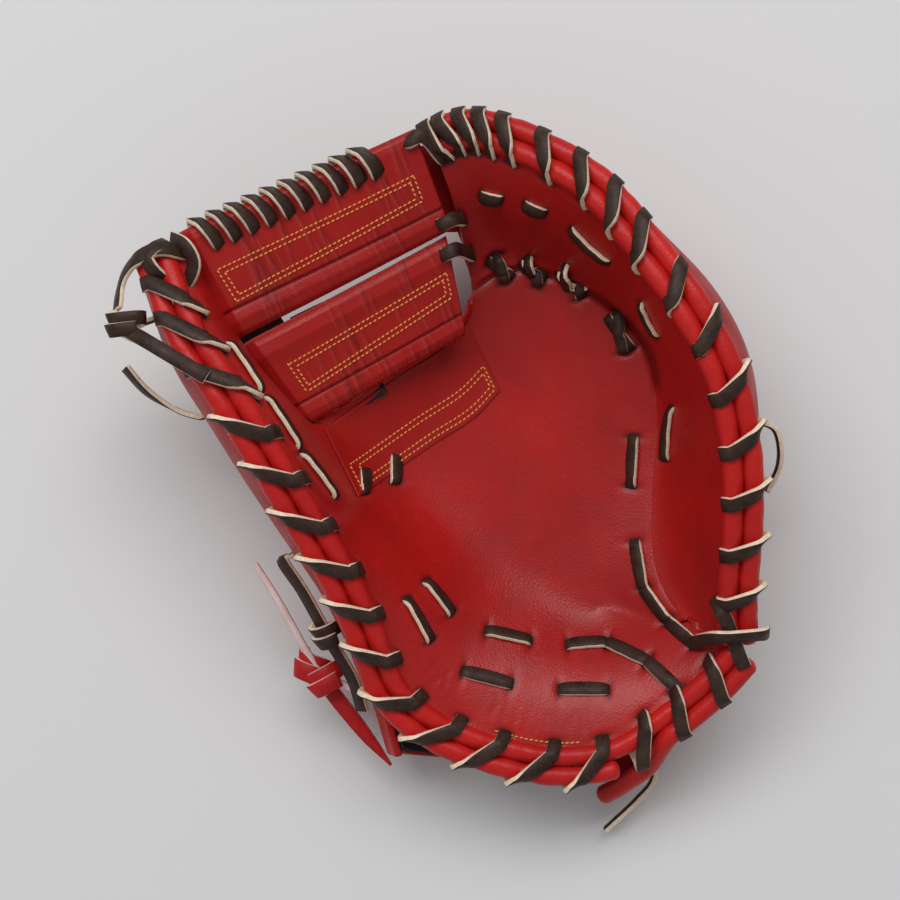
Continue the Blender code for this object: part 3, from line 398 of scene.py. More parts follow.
def palm_right_edge(walked):
    """The palm's edge at a distance from the heel's turn: the rim, the fold seam, then the web edge."""
    rim_left, seam_left, _ = right_edge_parts
    if walked <= rim_left:
        section = RimSection(thumb_rim, heel_turn + walked)
        return section.palm_edge, section.down[2], section.wall, section.foot
    walked -= rim_left
    if walked <= seam_left:
        notch = max(0.0, 1 - walked / NOTCH_REACH)
        drop = -SEAM_DROP - (NOTCH_SLOPE - SEAM_DROP) * notch
        return fold_seam.row(walked)[:3], drop, SEAM_WALL + SEAM_RISE * (1 - notch), SEAM_FOOT
    fade = 1 - WEB_FADE * (walked - seam_left) / web_edge.length
    return web_edge.row(walked - seam_left)[:3], -SEAM_DROP, WEB_WALL * fade, SEAM_FOOT * fade


def palm_column(rows, place, walked=None):
    """The palm's cut from its edge to the pocket line; walked is for the right side."""
    row = smooth_row(pocket_rows, place)
    low = row[:3]
    slope = math.radians(row[3])
    if walked is None:
        stop = np.searchsorted(thumb_rim.places, HEEL_TURN) + 1
        distance = float(np.interp(place, thumb_rim.fine[:stop, 6], thumb_rim.far[:stop]))
        section = RimSection(thumb_rim, distance)
        edge, down, wall, foot = section.palm_edge, section.down, section.wall, section.foot
    else:
        edge, drop, wall, foot = palm_right_edge(walked)
        down = math.sqrt(1 - drop * drop) * flat(low - edge) + drop * UP
        slope = -slope
    handle = edge + wall * down
    away = math.cos(slope) * flat(handle - low) + math.sin(slope) * UP
    return bezier(edge, handle, low + foot * away, low, rows)


def palm_grid(per_place, rows):
    """Points of the palm's face, column by column: down the thumb and heel side and back up the fold."""
    last = len(pocket_rows) - 1
    places = np.linspace(0, last, last * per_place + 1)
    shared = places[FREE_EDGE_END * per_place :][::-1]
    fan = np.linspace(0, FAN_LENGTH, round(FAN_COLUMNS * per_place) + 1)
    beyond = np.linspace(FAN_LENGTH, sum(right_edge_parts), len(shared))
    cuts = [(place,) for place in places] + [(last, walked) for walked in fan[1:]]
    cuts += list(zip(shared[1:], beyond[1:]))
    return np.array([palm_column(rows, *cut) for cut in cuts])


def face_mesh(name, face, flip=False):
    """The face of a leather as an open mesh, with the points that two columns share made one."""
    columns, rows = face.shape[:2]
    first = np.arange(columns * rows).reshape(columns, rows)
    quads = np.stack([first[:-1, :-1], first[1:, :-1], first[1:, 1:], first[:-1, 1:]], axis=-1).reshape(-1, 4)
    points, same = np.unique(np.round(world(face).reshape(-1, 3), 7), axis=0, return_inverse=True)
    quads = same.reshape(-1)[quads]
    faces = [list(dict.fromkeys(quad)) for quad in (quads[:, ::-1] if flip else quads).tolist()]
    mesh = bpy.data.meshes.new(name)
    mesh.from_pydata(points.tolist(), [], faces)
    mesh.validate()
    mesh.shade_smooth()
    for mark in ("dark", "rubbed"):
        mesh.attributes.new(mark, "FLOAT", "POINT")
    return mesh


def add_piece(name, mesh, *finishes):
    piece = bpy.data.objects.new(name, mesh)
    for finish in finishes:
        mesh.materials.append(finish)
    scene.collection.objects.link(piece)
    return piece


def leather_piece(name, face, thick, finish, flip=False, round_edge=0.6):
    """A cut leather: its face, its thickness beneath and a slightly rounded cut edge."""
    piece = add_piece(name, face_mesh(name, face, flip), finish)
    solid = piece.modifiers.new("thickness", "SOLIDIFY")
    solid.thickness = thick * MM
    solid.offset = -1
    edge = piece.modifiers.new("cut_edge", "BEVEL")
    edge.width = round_edge * MM
    edge.segments = 2
    edge.limit_method = "ANGLE"
    edge.angle_limit = math.radians(50)
    return piece


def read_mesh(piece):
    """The piece's points in design millimetres and the ways its face looks."""
    count = len(piece.data.vertices)
    points = np.empty(count * 3)
    normals = np.empty(count * 3)
    piece.data.vertices.foreach_get("co", points)
    piece.data.vertices.foreach_get("normal", normals)
    return points.reshape(-1, 3) / MM + MIDDLE, normals.reshape(-1, 3)


def press(piece, sink, **marks):
    """Presses the face in by sink, in millimetres at each point, and marks where shade is painted and where
    the leather is painted paler.
    """
    points, normals = read_mesh(piece)
    piece.data.vertices.foreach_set("co", world(points - sink[:, None] * normals).reshape(-1))
    for mark, more in marks.items():
        held = piece.data.attributes[mark].data
        old = np.empty(len(sink))
        held.foreach_get("value", old)
        held.foreach_set("value", np.clip(np.maximum(old, more), 0, 1))
    piece.data.update()


SLIT_HALF = 3.2
SLIT_WIDE = 1.15
SLIT_SINK = 0.9
SLIT_DEEP = 7.0


def punch(piece, holes):
    """Punches lace slits: each is its middle, the way across the lace, and the way out of the leather."""
    points, _ = read_mesh(piece)
    sink = np.zeros(len(points))
    dark = np.zeros(len(points))
    for middle, across, out in holes:
        gap = points - middle
        deep = np.abs(gap @ out) < SLIT_DEEP
        far = np.hypot(gap @ across / SLIT_HALF, gap @ unit(np.cross(across, out)) / SLIT_WIDE)
        sink += SLIT_SINK * np.exp(-((far / 1.5) ** 2)) * deep
        # Painted shade round each slit, where its hole lies in shade
        dark = np.maximum(dark, np.clip(1.7 - far, 0, 1) * deep)
    press(piece, np.minimum(sink, SLIT_SINK), dark=dark)


def crease(piece, line, wide, deep, dark=0.0, rubbed=0.0):
    """Presses a crease along a line seen from above, with a low ridge on each side of it; shade can be
    painted into the groove and the ridges painted paler.
    """
    points, _ = read_mesh(piece)
    far = np.full(len(points), 1e9)
    line = np.array(line, float)
    for a, b in zip(line, line[1:]):
        way = (b - a) / np.dot(b - a, b - a)
        share = np.clip((points[:, :2] - a) @ way, 0, 1)
        far = np.minimum(far, np.linalg.norm(points[:, :2] - a - share[:, None] * (b - a), axis=1))
    ends = np.clip(np.linalg.norm(points[:, :2] - line[0], axis=1) / (4 * wide), 0, 1)
    ends *= np.clip(np.linalg.norm(points[:, :2] - line[-1], axis=1) / (4 * wide), 0, 1)
    groove = np.exp(-((far / wide) ** 2)) * ends
    ridge = np.exp(-(((far - 2 * wide) / wide) ** 2)) * ends
    press(piece, deep * (groove - 0.4 * ridge), dark=dark * groove, rubbed=rubbed * ridge)


def relax(piece, passes):
    """Draws a leather's face smooth, as a last does, and leaves its edges where they are."""
    mesh = piece.data
    points, _ = read_mesh(piece)
    count = len(points)
    ends = np.empty(len(mesh.edges) * 2, int)
    mesh.edges.foreach_get("vertices", ends)
    a, b = ends.reshape(-1, 2).T
    loops = np.empty(len(mesh.loops), int)
    mesh.loops.foreach_get("edge_index", loops)
    rim = np.bincount(loops, minlength=len(mesh.edges)) == 1
    free = np.ones((count, 1))
    free[a[rim]] = 0
    free[b[rim]] = 0
    shared = np.bincount(a, minlength=count) + np.bincount(b, minlength=count)
    for _ in range(passes):
        sums = [np.bincount(a, points[b, k], count) + np.bincount(b, points[a, k], count) for k in range(3)]
        points += 0.5 * free * (np.stack(sums, axis=1) / shared[:, None] - points)
    mesh.vertices.foreach_set("co", world(points).reshape(-1))
    mesh.update()


def dress(piece, body, slot, *nodes):
    """The finished piece rides on its half of the mitt and stands for its solids."""
    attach(piece, body)
    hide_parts(*nodes)


palm_face = palm_grid(PALM_FINE, np.linspace(0, 1, PALM_ROWS))
palm_red = red_leather("palm_red", shine=0.34, gleam=0.32)
palm = leather_piece("palm", palm_face, LEATHER, palm_red, round_edge=0.3)
relax(palm, PALM_PASSES)
WRINKLES = 34
WRINKLE_RUN = (150.0, 318.0)
WRINKLE_FROM = (6, 9)
WRINKLE_SLANT = (-0.5, 0.5)
WRINKLE_LONG = (6, 15)
WRINKLE_WIDE = 0.8
WRINKLE_DEEP = (0.1, 0.24)
RUB_WIDE, RUB_DEEP, RUB_PALE = 3.0, 0.12, 0.16
RUB_LINE = ((-86, 36), (-74, 18), (-60, -4), (-48, -22))
wrinkle_draw = np.random.default_rng(5).uniform
for _ in range(WRINKLES):
    section = RimSection(thumb_rim, wrinkle_draw(*WRINKLE_RUN))
    wrinkle_start = (section.palm_roll - wrinkle_draw(*WRINKLE_FROM) * section.out)[:2]
    wrinkle_way = (-section.out + wrinkle_draw(*WRINKLE_SLANT) * section.along)[:2]
    wrinkle_end = wrinkle_start + wrinkle_draw(*WRINKLE_LONG) * wrinkle_way
    crease(palm, (wrinkle_start, wrinkle_end), WRINKLE_WIDE, wrinkle_draw(*WRINKLE_DEEP))
# A pressed line down the thumb face, its low ridges painted paler
crease(palm, RUB_LINE, RUB_WIDE, RUB_DEEP, rubbed=RUB_PALE)

# Finger panel: the same hide in a piece of its own for the four fingers, standing up from the fold. It is
# sewn to the palm along the fold seam and folds with the finger half.
SEAM_TUCK = -0.6
SEAM_SMOOTH = 10.0
FINGER_COLUMNS = 230
FINGER_ROWS = 80
FINGER_PASSES = 120
FOOT_RISE = 0.3


def finger_grid(columns, rows):
    """Points of the finger panel's face, from the rim to the fold seam."""
    grid = []
    for i in range(columns + 1):
        section = RimSection(finger_rim, finger_rim.length * i / columns)
        distance = section.partner * fold_seam.length
        out = flat(np.cross(fold_seam.along(distance, SEAM_SMOOTH), UP))
        foot_end = fold_seam.row(distance)[:3] + SEAM_TUCK * out
        handle = section.palm_edge + section.wall * section.down
        foot = foot_end + section.foot * unit(flat(handle - foot_end) + FOOT_RISE * UP)
        grid.append(bezier(section.palm_edge, handle, foot, foot_end, rows))
    return np.array(grid)


finger_face = finger_grid(FINGER_COLUMNS, np.linspace(0, 1, FINGER_ROWS))
finger_red = red_leather("finger_red", grain=520.0)
finger = leather_piece("finger_panel_hide", finger_face, LEATHER, finger_red, round_edge=0.3)
relax(finger, FINGER_PASSES)
dress(finger, FINGER, "red_leather", "finger_panel")

SEAM_OPEN = 0.52
SEAM_STEP = 3.0
SEAM_WIDE, SEAM_DEEP, SEAM_PAINTED_SHADE = 1.4, 0.8, 0.55
seam_line = fold_seam.points(SEAM_STEP)[:, :2]
seam_turn = round(SEAM_OPEN * len(seam_line))
# The fold seam's groove gets painted shade along it, on the palm and on the finger panel
for hide in (palm, finger):
    crease(hide, seam_line[seam_turn:], SEAM_WIDE, SEAM_DEEP, dark=SEAM_PAINTED_SHADE)

# Back leathers: three pieces of the same hide that the mitt lies on, hung from the outer roll and drawn in
# flat beneath it. The one at the heel hangs from the roll beside the hand opening.
BACK_FLOOR = -7.0
THUMB_BACK_EDGE = (
    (-48, 8, 34),
    (-42, 3, 18),
    (-30, -5, 4),
    (-12, -15, BACK_FLOOR),
    (5, -26, BACK_FLOOR),
    (8, -44, BACK_FLOOR),
    (0, -66, BACK_FLOOR),
    (-12, -88, BACK_FLOOR),
)
FINGER_BACK_EDGE = (
    (105.5, -78, BACK_FLOOR),
    (99, -69, BACK_FLOOR),
    (90, -55, BACK_FLOOR),
    (81, -40, BACK_FLOOR),
    (71, -24, BACK_FLOOR),
    (61, -8, BACK_FLOOR),
    (51, 8, BACK_FLOOR),
    (42, 24, BACK_FLOOR),
    (33, 39, BACK_FLOOR),
    (25, 53, 3),
    (18, 64, 14),
    (13.5, 71.5, 26),
)
HEEL_BACK_EDGE = (
    (88, -92, BACK_FLOOR),
    (83, -100, BACK_FLOOR),
    (75, -108, BACK_FLOOR),
    (66, -114, BACK_FLOOR),
    (58, -118, BACK_FLOOR),
)
THUMB_BACK_DROP = (48, 0.62)
FINGER_BACK_DROP = (50, 0.66)
HEEL_BACK_DROP = (16, 0.6)
HEEL_BULGE = 12.0
WRIST_ROLL_LOW = ((86, -136, 44), (76, -146, 33), (68, -152, 26))
WRIST_ROLL_TURN = 341.0
BACK_ROWS = np.linspace(0, 1, 60)
THUMB_BACK_COLUMNS, FINGER_BACK_COLUMNS, HEEL_BACK_COLUMNS = 160, 220, 70


def back_grid(starts, downs, edges, drop):
    """Points of a back leather's outer face, from under its roll to its edge beneath the mitt."""
    wall, foot = drop
    grid = []
    for start, down, low in zip(starts, downs, edges):
        handle = start + wall * down
        reach = foot * np.linalg.norm((handle - low)[:2])
        column = bezier(start, handle, low + reach * flat(handle - low), low, BACK_ROWS)
        column[:, 2] = np.maximum(column[:, 2], 0.0)
        grid.append(column)
    return np.array(grid)


def edge_points(edges, places):
    rows = np.array(edges, float)
    return [smooth_row(rows, t) for t in places]


def rim_back_face(rim, edges, count, drop):
    """Points of a back leather that hangs from the rim."""
    places = np.linspace(0, len(edges) - 1, count)
    sections = [RimSection(rim, rim.distance(t)) for t in places]
    starts = [s.back_edge for s in sections]
    downs = [s.back_down for s in sections]
    return back_grid(starts, downs, edge_points(edges, places), drop)


wrist_distances = np.linspace(thumb_rim.length - 1, WRIST_ROLL_TURN, 5)
wrist_top = [RimSection(thumb_rim, d).back_roll for d in wrist_distances]
wrist_route = Route((*wrist_top, *WRIST_ROLL_LOW))
heel_starts = []
heel_downs = []
for d in np.linspace(2, wrist_route.length - 1, HEEL_BACK_COLUMNS):
    along = wrist_route.along(d)
    out = flat(np.cross(-along, UP))
    below = unit(np.dot(UP, along) * along - UP)
    heel_starts.append(wrist_route.row(d)[:3] + (ROLL_R + LEATHER_GAP) * below + LEATHER / 2 * out)
    heel_downs.append(unit(math.sin(math.radians(HEEL_BULGE)) * out - UP))
thumb_back_face = rim_back_face(thumb_rim, THUMB_BACK_EDGE, THUMB_BACK_COLUMNS, THUMB_BACK_DROP)
finger_back_face = rim_back_face(finger_rim, FINGER_BACK_EDGE, FINGER_BACK_COLUMNS, FINGER_BACK_DROP)
heel_places = np.linspace(0, len(HEEL_BACK_EDGE) - 1, HEEL_BACK_COLUMNS)
heel_edges = edge_points(HEEL_BACK_EDGE, heel_places)
heel_back_face = back_grid(heel_starts, heel_downs, heel_edges, HEEL_BACK_DROP)
back_red = red_leather("back_red", grain=560.0, shine=0.44)
thumb_back = leather_piece("thumb_back", thumb_back_face, LEATHER, back_red, flip=True)
dress(thumb_back, THUMB, "red_leather", "thumb_back_leather")
finger_back = leather_piece("finger_back", finger_back_face, LEATHER, back_red, flip=True)
dress(finger_back, FINGER, "red_leather", "finger_back_leather")
heel_back = leather_piece("heel_back", heel_back_face, LEATHER, back_red)
dress(heel_back, THUMB, "red_leather", "heel_back_leather")

# Rolls: strips of thin hide rolled round a cord and sewn shut, two side by side along the whole rim and one
# that turns down beside the hand opening. The lacing pinches them where it crosses.
ROLL_SIDES = 20
ROLL_STEP = 1.6
HEEL_ROLL_END = 316.0
RIM_FIRST, RIM_SECOND, RIM_PITCH = 9.0, 24.0, 22.8
THUMB_SLANTS = (17, 21, 21, 18, 17, 17, 16, 14, 13, 16)
HEEL_SLANTS = (17, 15, 16, 17)
CORNER_FIRST, CORNER_PITCH = 326.0, 21.5
CORNER_SLANTS = (13, 9, 9)
FINGER_FIRST, FINGER_PITCH = 26.0, 23.3
FINGER_SLANTS = (-7, -8, -8, -9, -9, -11, -14)
UPPER_FIRST, UPPER_PITCH = 190.0, 17.0
UPPER_SLANTS = (-16, -15, -14, -11, -10)
TIP_FIRST, TIP_PITCH = 267.0, 6.8
TIP_SLANTS = (-9, -7, -5, -3)


def stitch_row(first, pitch, slants):
    """Each stitch's distance along the rim at its back hole and at its palm hole."""
    return tuple((first + pitch * k, first + pitch * k + slant) for k, slant in enumerate(slants))


rim_row = stitch_row(RIM_SECOND, RIM_PITCH, THUMB_SLANTS[1:] + HEEL_SLANTS)
THUMB_STITCHES = ((RIM_FIRST, RIM_FIRST + THUMB_SLANTS[0]), *rim_row[: len(THUMB_SLANTS) - 1])
HEEL_STITCHES = rim_row[len(THUMB_SLANTS) - 1 :]
CORNER_STITCHES = stitch_row(CORNER_FIRST, CORNER_PITCH, CORNER_SLANTS)
FINGER_STITCHES = stitch_row(FINGER_FIRST, FINGER_PITCH, FINGER_SLANTS)
FINGER_STITCHES += stitch_row(UPPER_FIRST, UPPER_PITCH, UPPER_SLANTS)
TIP_STITCHES = stitch_row(TIP_FIRST, TIP_PITCH, TIP_SLANTS)
PINCH = 0.13
PINCH_WIDE = 4.0
ROLL_SHARES = {"palm_roll": 0.7, "back_roll": 0.3}
ROLL_FULL = 1.02
ROLL_LUMPS = ((0.02, 0.31, 0), (0.012, 0.83, 1))
ROLL_DOME = ((0.55, 0.4), (0.3, 0.82))


def skin(name, tubes, kinds=None, cap_kind=0):
    """A closed mesh over rows of rings, each turning the same way round its line, capped at both ends."""
    points = []
    faces = []
    finishes = []
    base = 0
    for rings in tubes:
        count, sides = rings.shape[:2]
        first = base + np.arange(count * sides).reshape(count, sides)
        turned = np.roll(first, -1, axis=1)
        faces += np.stack([first[:-1], turned[:-1], turned[1:], first[1:]], axis=-1).reshape(-1, 4).tolist()
        faces += [first[0, ::-1].tolist(), first[-1].tolist()]
        finishes += list(kinds or [0] * sides) * (count - 1) + [cap_kind] * 2
        points.append(rings.reshape(-1, 3))
        base += count * sides
    mesh = bpy.data.meshes.new(name)
    mesh.from_pydata(world(np.concatenate(points)).tolist(), [], faces)
    mesh.polygons.foreach_set("material_index", finishes)
    mesh.shade_smooth()
    for mark in ("dark", "rubbed"):
        mesh.attributes.new(mark, "FLOAT", "POINT")
    return mesh


def tube_rings(points, radii, sides=ROLL_SIDES):
    """Round rings along the points, with both ends domed in two steps."""
    points = np.asarray(points, float)
    radii = np.asarray(radii, float)
    way = unit(np.gradient(points, axis=0))
    across = unit(np.cross(way, UP + 1e-4))
    over = np.cross(way, across)
    turns = np.linspace(0, 2 * math.pi, sides, endpoint=False)[:, None]

    def ring(i, shift, size):
        turned = np.cos(turns) * across[i] + np.sin(turns) * over[i]
        return points[i] + shift * radii[i] * way[i] + size * radii[i] * turned

    rings = [ring(0, -shift, size) for shift, size in ROLL_DOME]
    rings += [ring(i, 0, 1) for i in range(len(points))]
    rings += [ring(-1, shift, size) for shift, size in ROLL_DOME[::-1]]
    return np.array(rings)


def roll(name, node, rim, start, stop, side, body, stitches):
    """A roll along the rim, pinched where each stitch crosses it at its side's share of the stitch."""
    share = ROLL_SHARES[side]
    distances = np.linspace(start, stop, round((stop - start) / ROLL_STEP))
    points = [getattr(RimSection(rim, d), side) for d in distances]
    crossings = [outer + share * (palm_end - outer) for outer, palm_end in stitches]
    pinches = sum(np.exp(-(((distances - c) / PINCH_WIDE) ** 2)) for c in crossings)
    lumps = sum(high * np.sin(distances * often + shift) for high, often, shift in ROLL_LUMPS)
    radii = ROLL_R * (ROLL_FULL - PINCH * pinches + lumps)
    piece = add_piece(name, skin(name, [tube_rings(points, radii)]), roll_red)
    dress(piece, body, "red_leather", node)


ROLL_RED, ROLL_DEEP_RED = (0.55, 0.015, 0.012), (0.40, 0.010, 0.009)
roll_red = red_leather("roll_red", red=ROLL_RED, deep=ROLL_DEEP_RED, grain=480.0, shine=0.36)
whole_rim = THUMB_STITCHES + HEEL_STITCHES + CORNER_STITCHES
whole_fingers = FINGER_STITCHES + TIP_STITCHES
for side, half, pair, thumb_stop in (
    ("palm_roll", "inner", "palm", thumb_rim.length - 1),
    ("back_roll", "outer", "back", HEEL_ROLL_END),
):
    roll(f"thumb_{half}_roll", f"thumb_{pair}_roll", thumb_rim, 0, thumb_stop, side, THUMB, whole_rim)
for side, half, pair in (("palm_roll", "inner", "palm"), ("back_roll", "outer", "back")):
    finger_names = (f"finger_{half}_roll", f"finger_{pair}_roll")
    roll(*finger_names, finger_rim, 1, finger_rim.length, side, FINGER, whole_fingers)
wrist_points = wrist_route.points(ROLL_STEP)[:, :3]
wrist_rings = tube_rings(wrist_points, np.full(len(wrist_points), ROLL_R))
wrist_roll = add_piece("wrist_roll", skin("wrist_roll", [wrist_rings]), roll_red)
dress(wrist_roll, THUMB, "red_leather", "wrist_corner_roll")

# Rim laces: flat strips of brown rawhide whipped over both rolls through slits in the palm and back leathers.
# The face is dark brown, and the cut edges and the flesh side are bare cream hide.
LACE_W = 6.0
LACE_T = 2.2
LACE_STEP = 1.1
RIDE = 0.12 + LACE_T / 2
ROLL_TOP = ROLL_R + RIDE
HOLE_FROM_ROLL = 6.4
LEAST_TURN = 20.0
LACE_RISE = 0.7
LACE_SHAPE = np.array(
    (
        (1, 0.34),
        (0.93, 0.5),
        (0, 0.55),
        (-0.93, 0.5),
        (-1, 0.34),
        (-1, -0.4),
        (-0.9, -0.5),
        (0, -0.5),
        (0.9, -0.5),
        (1, -0.4),
    )
)
LACE_KINDS = (0, 0, 0, 0, 1, 1, 1, 1, 1, 1)


def lace_brown():
    """Oiled rawhide: streaks along the hide, a dull shine and scuffs."""
    finish = Finish("lace_brown", Specular_IOR_Level=0.22)
    streak = finish.span(finish.noise(140.0, 4.0, 0.6), 0.35, 0.7)
    scuff = finish.span(finish.noise(700.0, 3.0), 0.55, 0.85, 0.0, 0.6)
    colour = finish.mix(streak, (0.048, 0.025, 0.018), (0.022, 0.010, 0.007))
    colour = finish.mix(scuff, colour, (0.085, 0.052, 0.040))
    hide = finish.bump(finish.noise(900.0, 3.0), 0.25, 0.0003)
    gloss = finish.span(finish.noise(300.0), 0.3, 0.7, 0.42, 0.6)
    return finish.wire(Base_Color=colour, Roughness=gloss, Normal=hide)


def lace_cream():
    """The cut edge and flesh side of rawhide: fibrous and matt."""
    finish = Finish("lace_cream", Specular_IOR_Level=0.2)
    fibre = finish.span(finish.noise(600.0, 4.0, 0.65), 0.3, 0.75)
    colour = finish.mix(fibre, (0.88, 0.76, 0.60), (0.62, 0.46, 0.31))
    nap = finish.bump(finish.noise(1400.0, 3.0), 0.4, 0.0003)
    return finish.wire(Base_Color=colour, Roughness=finish.span(fibre, 0, 1, 0.7, 0.9), Normal=nap)


brown = lace_brown()
cream = lace_cream()


def lace_row(point, side, wide=1.0, lean=0.0):
    """One row of a lace's line: its point, the way across it, its share of full width and its lean."""
    return (*point, *unit(np.asarray(side, float)), wide, lean)


def lace_points(rows, step=LACE_STEP):
    """The rows of a lace drawn smooth, about a step apart."""
    return Route(rows, 10).points(step)


def lace_rings(rows, width=LACE_W, thick=LACE_T):
    """Rings of a flat lace along its smooth rows."""
    points = rows[:, :3]
    way = unit(np.gradient(points, axis=0))
    side = rows[:, 3:6]
    across = unit(side - np.sum(side * way, axis=1, keepdims=True) * way)
    up = np.cross(way, across)
    lean = np.radians(rows[:, 7:8])
    across, up = np.cos(lean) * across + np.sin(lean) * up, np.cos(lean) * up - np.sin(lean) * across
    half = width / 2 * rows[:, 6:7]
    return np.stack([points + u * half * across + v * thick * up for u, v in LACE_SHAPE], axis=1)


def lace_piece(name, strands, finishes=(brown, cream)):
    """Laces as one piece, each strand from its smooth rows, the face and the cut edges in two finishes."""
    return add_piece(name, skin(name, [lace_rings(rows) for rows in strands], LACE_KINDS, 1), *finishes)


BACK_TURNS = ((25, 0.0, 1.5), (52, 0.07, 1.1), (88, 0.25, 0.2))
PALM_TURNS = ((2, 0.78), (0.5, 0.83), (1, 0.88))
PALM_PRESS = (0, 0.5, 1)
HOOK_FROM = 0.8
THROUGH = 3.0
BACK_STEP, PALM_STEP = 2.0, 1.2
HIDDEN_WIDE, SLIT_LACE_WIDE, BITTEN_WIDE, LEAVING_WIDE = 0.6, 0.75, 0.85, 0.95


class Stitch:
    """One pass of a whip lace from its back hole over both rolls to its palm hole, bowed along the rim."""

    def __init__(self, rim, outer, palm_end, leans, bow, hook, bite):
        self.rim, self.outer, self.palm_end = rim, outer, palm_end
        self.leans, self.bow, self.hook, self.bite = leans, bow, hook, bite
        self.rows = []

    def section(self, share):
        run = self.palm_end - self.outer
        bowed = self.bow * 4 * share * (1 - share)
        past = self.hook * math.copysign(max(share - HOOK_FROM, 0) / (1 - HOOK_FROM), run)
        return RimSection(self.rim, min(max(self.outer + share * run + bowed + past, 0), self.rim.length))

    def lay(self, section, point, away, share, wide=1.0, leaning=True):
        lean = float(np.interp(share, (0, 0.4, 1), self.leans)) if leaning else 0.0
        rise = LACE_RISE * LACE_W / 2 * abs(math.sin(math.radians(lean)))
        self.rows.append(lace_row(point + rise * away, -section.along, wide, lean))

    def sew(self):
        """The stitch's smooth rows, its back slit and its palm slit."""
        reach = LEATHER / 2 + RIDE
        first = self.section(0)
        last = self.section(1)
        back_hole = first.back_roll + HOLE_FROM_ROLL * first.back_down
        palm_hole = last.palm_roll + HOLE_FROM_ROLL * last.down
        self.lay(first, back_hole - THROUGH * reach * first.back_out, first.back_out, 0, HIDDEN_WIDE, False)
        self.lay(first, back_hole, first.back_out, 0, SLIT_LACE_WIDE, False)
        leaving = back_hole + reach * first.back_out - BACK_STEP * first.back_down
        self.lay(first, leaving, first.back_out, 0, LEAVING_WIDE)
        turn = max(last.lean, LEAST_TURN)
        turns = [("back_roll", *turned) for turned in BACK_TURNS]
        for (part, share), pressed in zip(PALM_TURNS, PALM_PRESS):
            turns.append(("palm_roll", 90 + (part if part > 1 else part * turn), share, pressed * self.bite))
        for side, angle, share, pressed in turns:
            section = self.section(share)
            away = math.cos(math.radians(angle)) * section.out + math.sin(math.radians(angle)) * UP
            self.lay(section, getattr(section, side) + (ROLL_TOP - pressed) * away, away, share)
        entering = palm_hole - (reach - self.bite) * last.under - PALM_STEP * last.down
        self.lay(last, entering, -last.under, 1, LEAVING_WIDE)
        self.lay(last, palm_hole + self.bite * last.under, last.under, 1, BITTEN_WIDE)
        self.lay(last, palm_hole + THROUGH * reach * last.under, last.under, 1, HIDDEN_WIDE, False)
        back_slit = (back_hole + LEATHER / 2 * first.back_out, first.along, first.back_out)
        palm_slit = (palm_hole - LEATHER / 2 * last.under, last.along, -last.under)
        return lace_points(self.rows), back_slit, palm_slit


def rim_lace(name, node, rim, stitches, palm_leather, back_leather, body, ways):
    """A whip lace over the rim; each stitch is its distance at the back hole and at the palm hole."""
    sewn = [Stitch(rim, *ends, *ways(number)).sew() for number, ends in enumerate(stitches)]
    punch(palm_leather, [palm_slit for _, _, palm_slit in sewn])
    if back_leather:
        punch(back_leather, [back_slit for _, back_slit, _ in sewn])
    piece = lace_piece(name, [rows for rows, _, _ in sewn])
    dress(piece, body, "brown_lace", node)


# Each way of sewing: the lace's lean at the back, the middle and the palm, its bow, its hook and its bite
THUMB_TIP_WAY = ((-8, -12, -34), -4, 2, 0.0)
THUMB_WAY = ((44, 15, 5), 3, 0, 0.0)
HEEL_WAY = ((40, 14, 5), 2, 0, 0.0)
CORNER_WAY = ((-8, -14, -16), -2, 0, 0.0)
FINGER_WAYS = (
    ((-44, -15, -5), -3, 0, 1.6),
    ((-24, -8, 8), -1, 0, 2.4),
    ((0, 10, 24), 2, 0, 2.6),
    ((2, 27, 38), 3.5, 0, 2.8),
)
THUMB_TIP_COUNT = 3
FINGER_LOW_COUNT = 4
rim_lace("thumb_rim_lace", "thumb_edge_lace", thumb_rim, THUMB_STITCHES, palm, thumb_back, THUMB,
         lambda k: THUMB_TIP_WAY if k < THUMB_TIP_COUNT else THUMB_WAY)
rim_lace("heel_rim_lace", "heel_edge_lace", thumb_rim, HEEL_STITCHES, palm, None, THUMB,
         lambda k: HEEL_WAY)
rim_lace("corner_rim_lace", "wrist_corner_lace", thumb_rim, CORNER_STITCHES, palm, heel_back, THUMB,
         lambda k: CORNER_WAY)
rim_lace("finger_rim_lace", "finger_edge_lace", finger_rim, FINGER_STITCHES, finger, finger_back, FINGER,
         lambda k: FINGER_WAYS[min(max(k - FINGER_LOW_COUNT, 0), len(FINGER_WAYS) - 1)])
rim_lace("finger_top_lace", "finger_tip_lace", finger_rim, TIP_STITCHES, finger, finger_back, FINGER,
         lambda k: FINGER_WAYS[-1])

# Padding laces: short runs of the same lace that tie the felt to the palm and to the finger panel. Each dash
# comes up through one slit and goes down the next, and two chains of dashes run to the notch.
AXIS_WEB = np.array([9.5, 70.0, 44.5])
AXIS_NOTCH = np.array([107.0, -85.3, 69.0])
DASH_BULGE = 0.5
DASH_SINK = -0.7
DASH_HOLE = -5.0
DASH_STEPS = (
    (0, -6, 0.55),
    (0, -1.2, 0.72),
    (0.09, 0, 0.92),
    (0.3, 0.6, 1),
    (0.5, 1, 1),
    (0.7, 0.6, 1),
    (0.91, 0, 0.92),
    (1, -1.2, 0.72),
    (1, -6, 0.55),
)
FROM_ABOVE = 300.0
HEEL_PAD_DASHES = (((16, -78), (35, -82.5), -25), ((26.5, -100.2), (5.6, -94.6), 8))
HEEL_LOW_DASHES = (((47, -102.7), (67.6, -102.7), -8),)
THUMB_PAD_DASHES = (((-18, -63), (-8, -81), -28), ((1, -70), (-10, -56), 20))
HEEL_CHAIN = (((51.2, -84.6), (68.4, -83.6), (84.4, -90.3), (97.3, -101.8), -14),)
HINGE_CHAIN = (((80.7, -39.7), (84, -60), (93.7, -73.4), (104, -82.7), 20),)
POCKET_DASHES = (((80, 6), (79, -16), 40),)
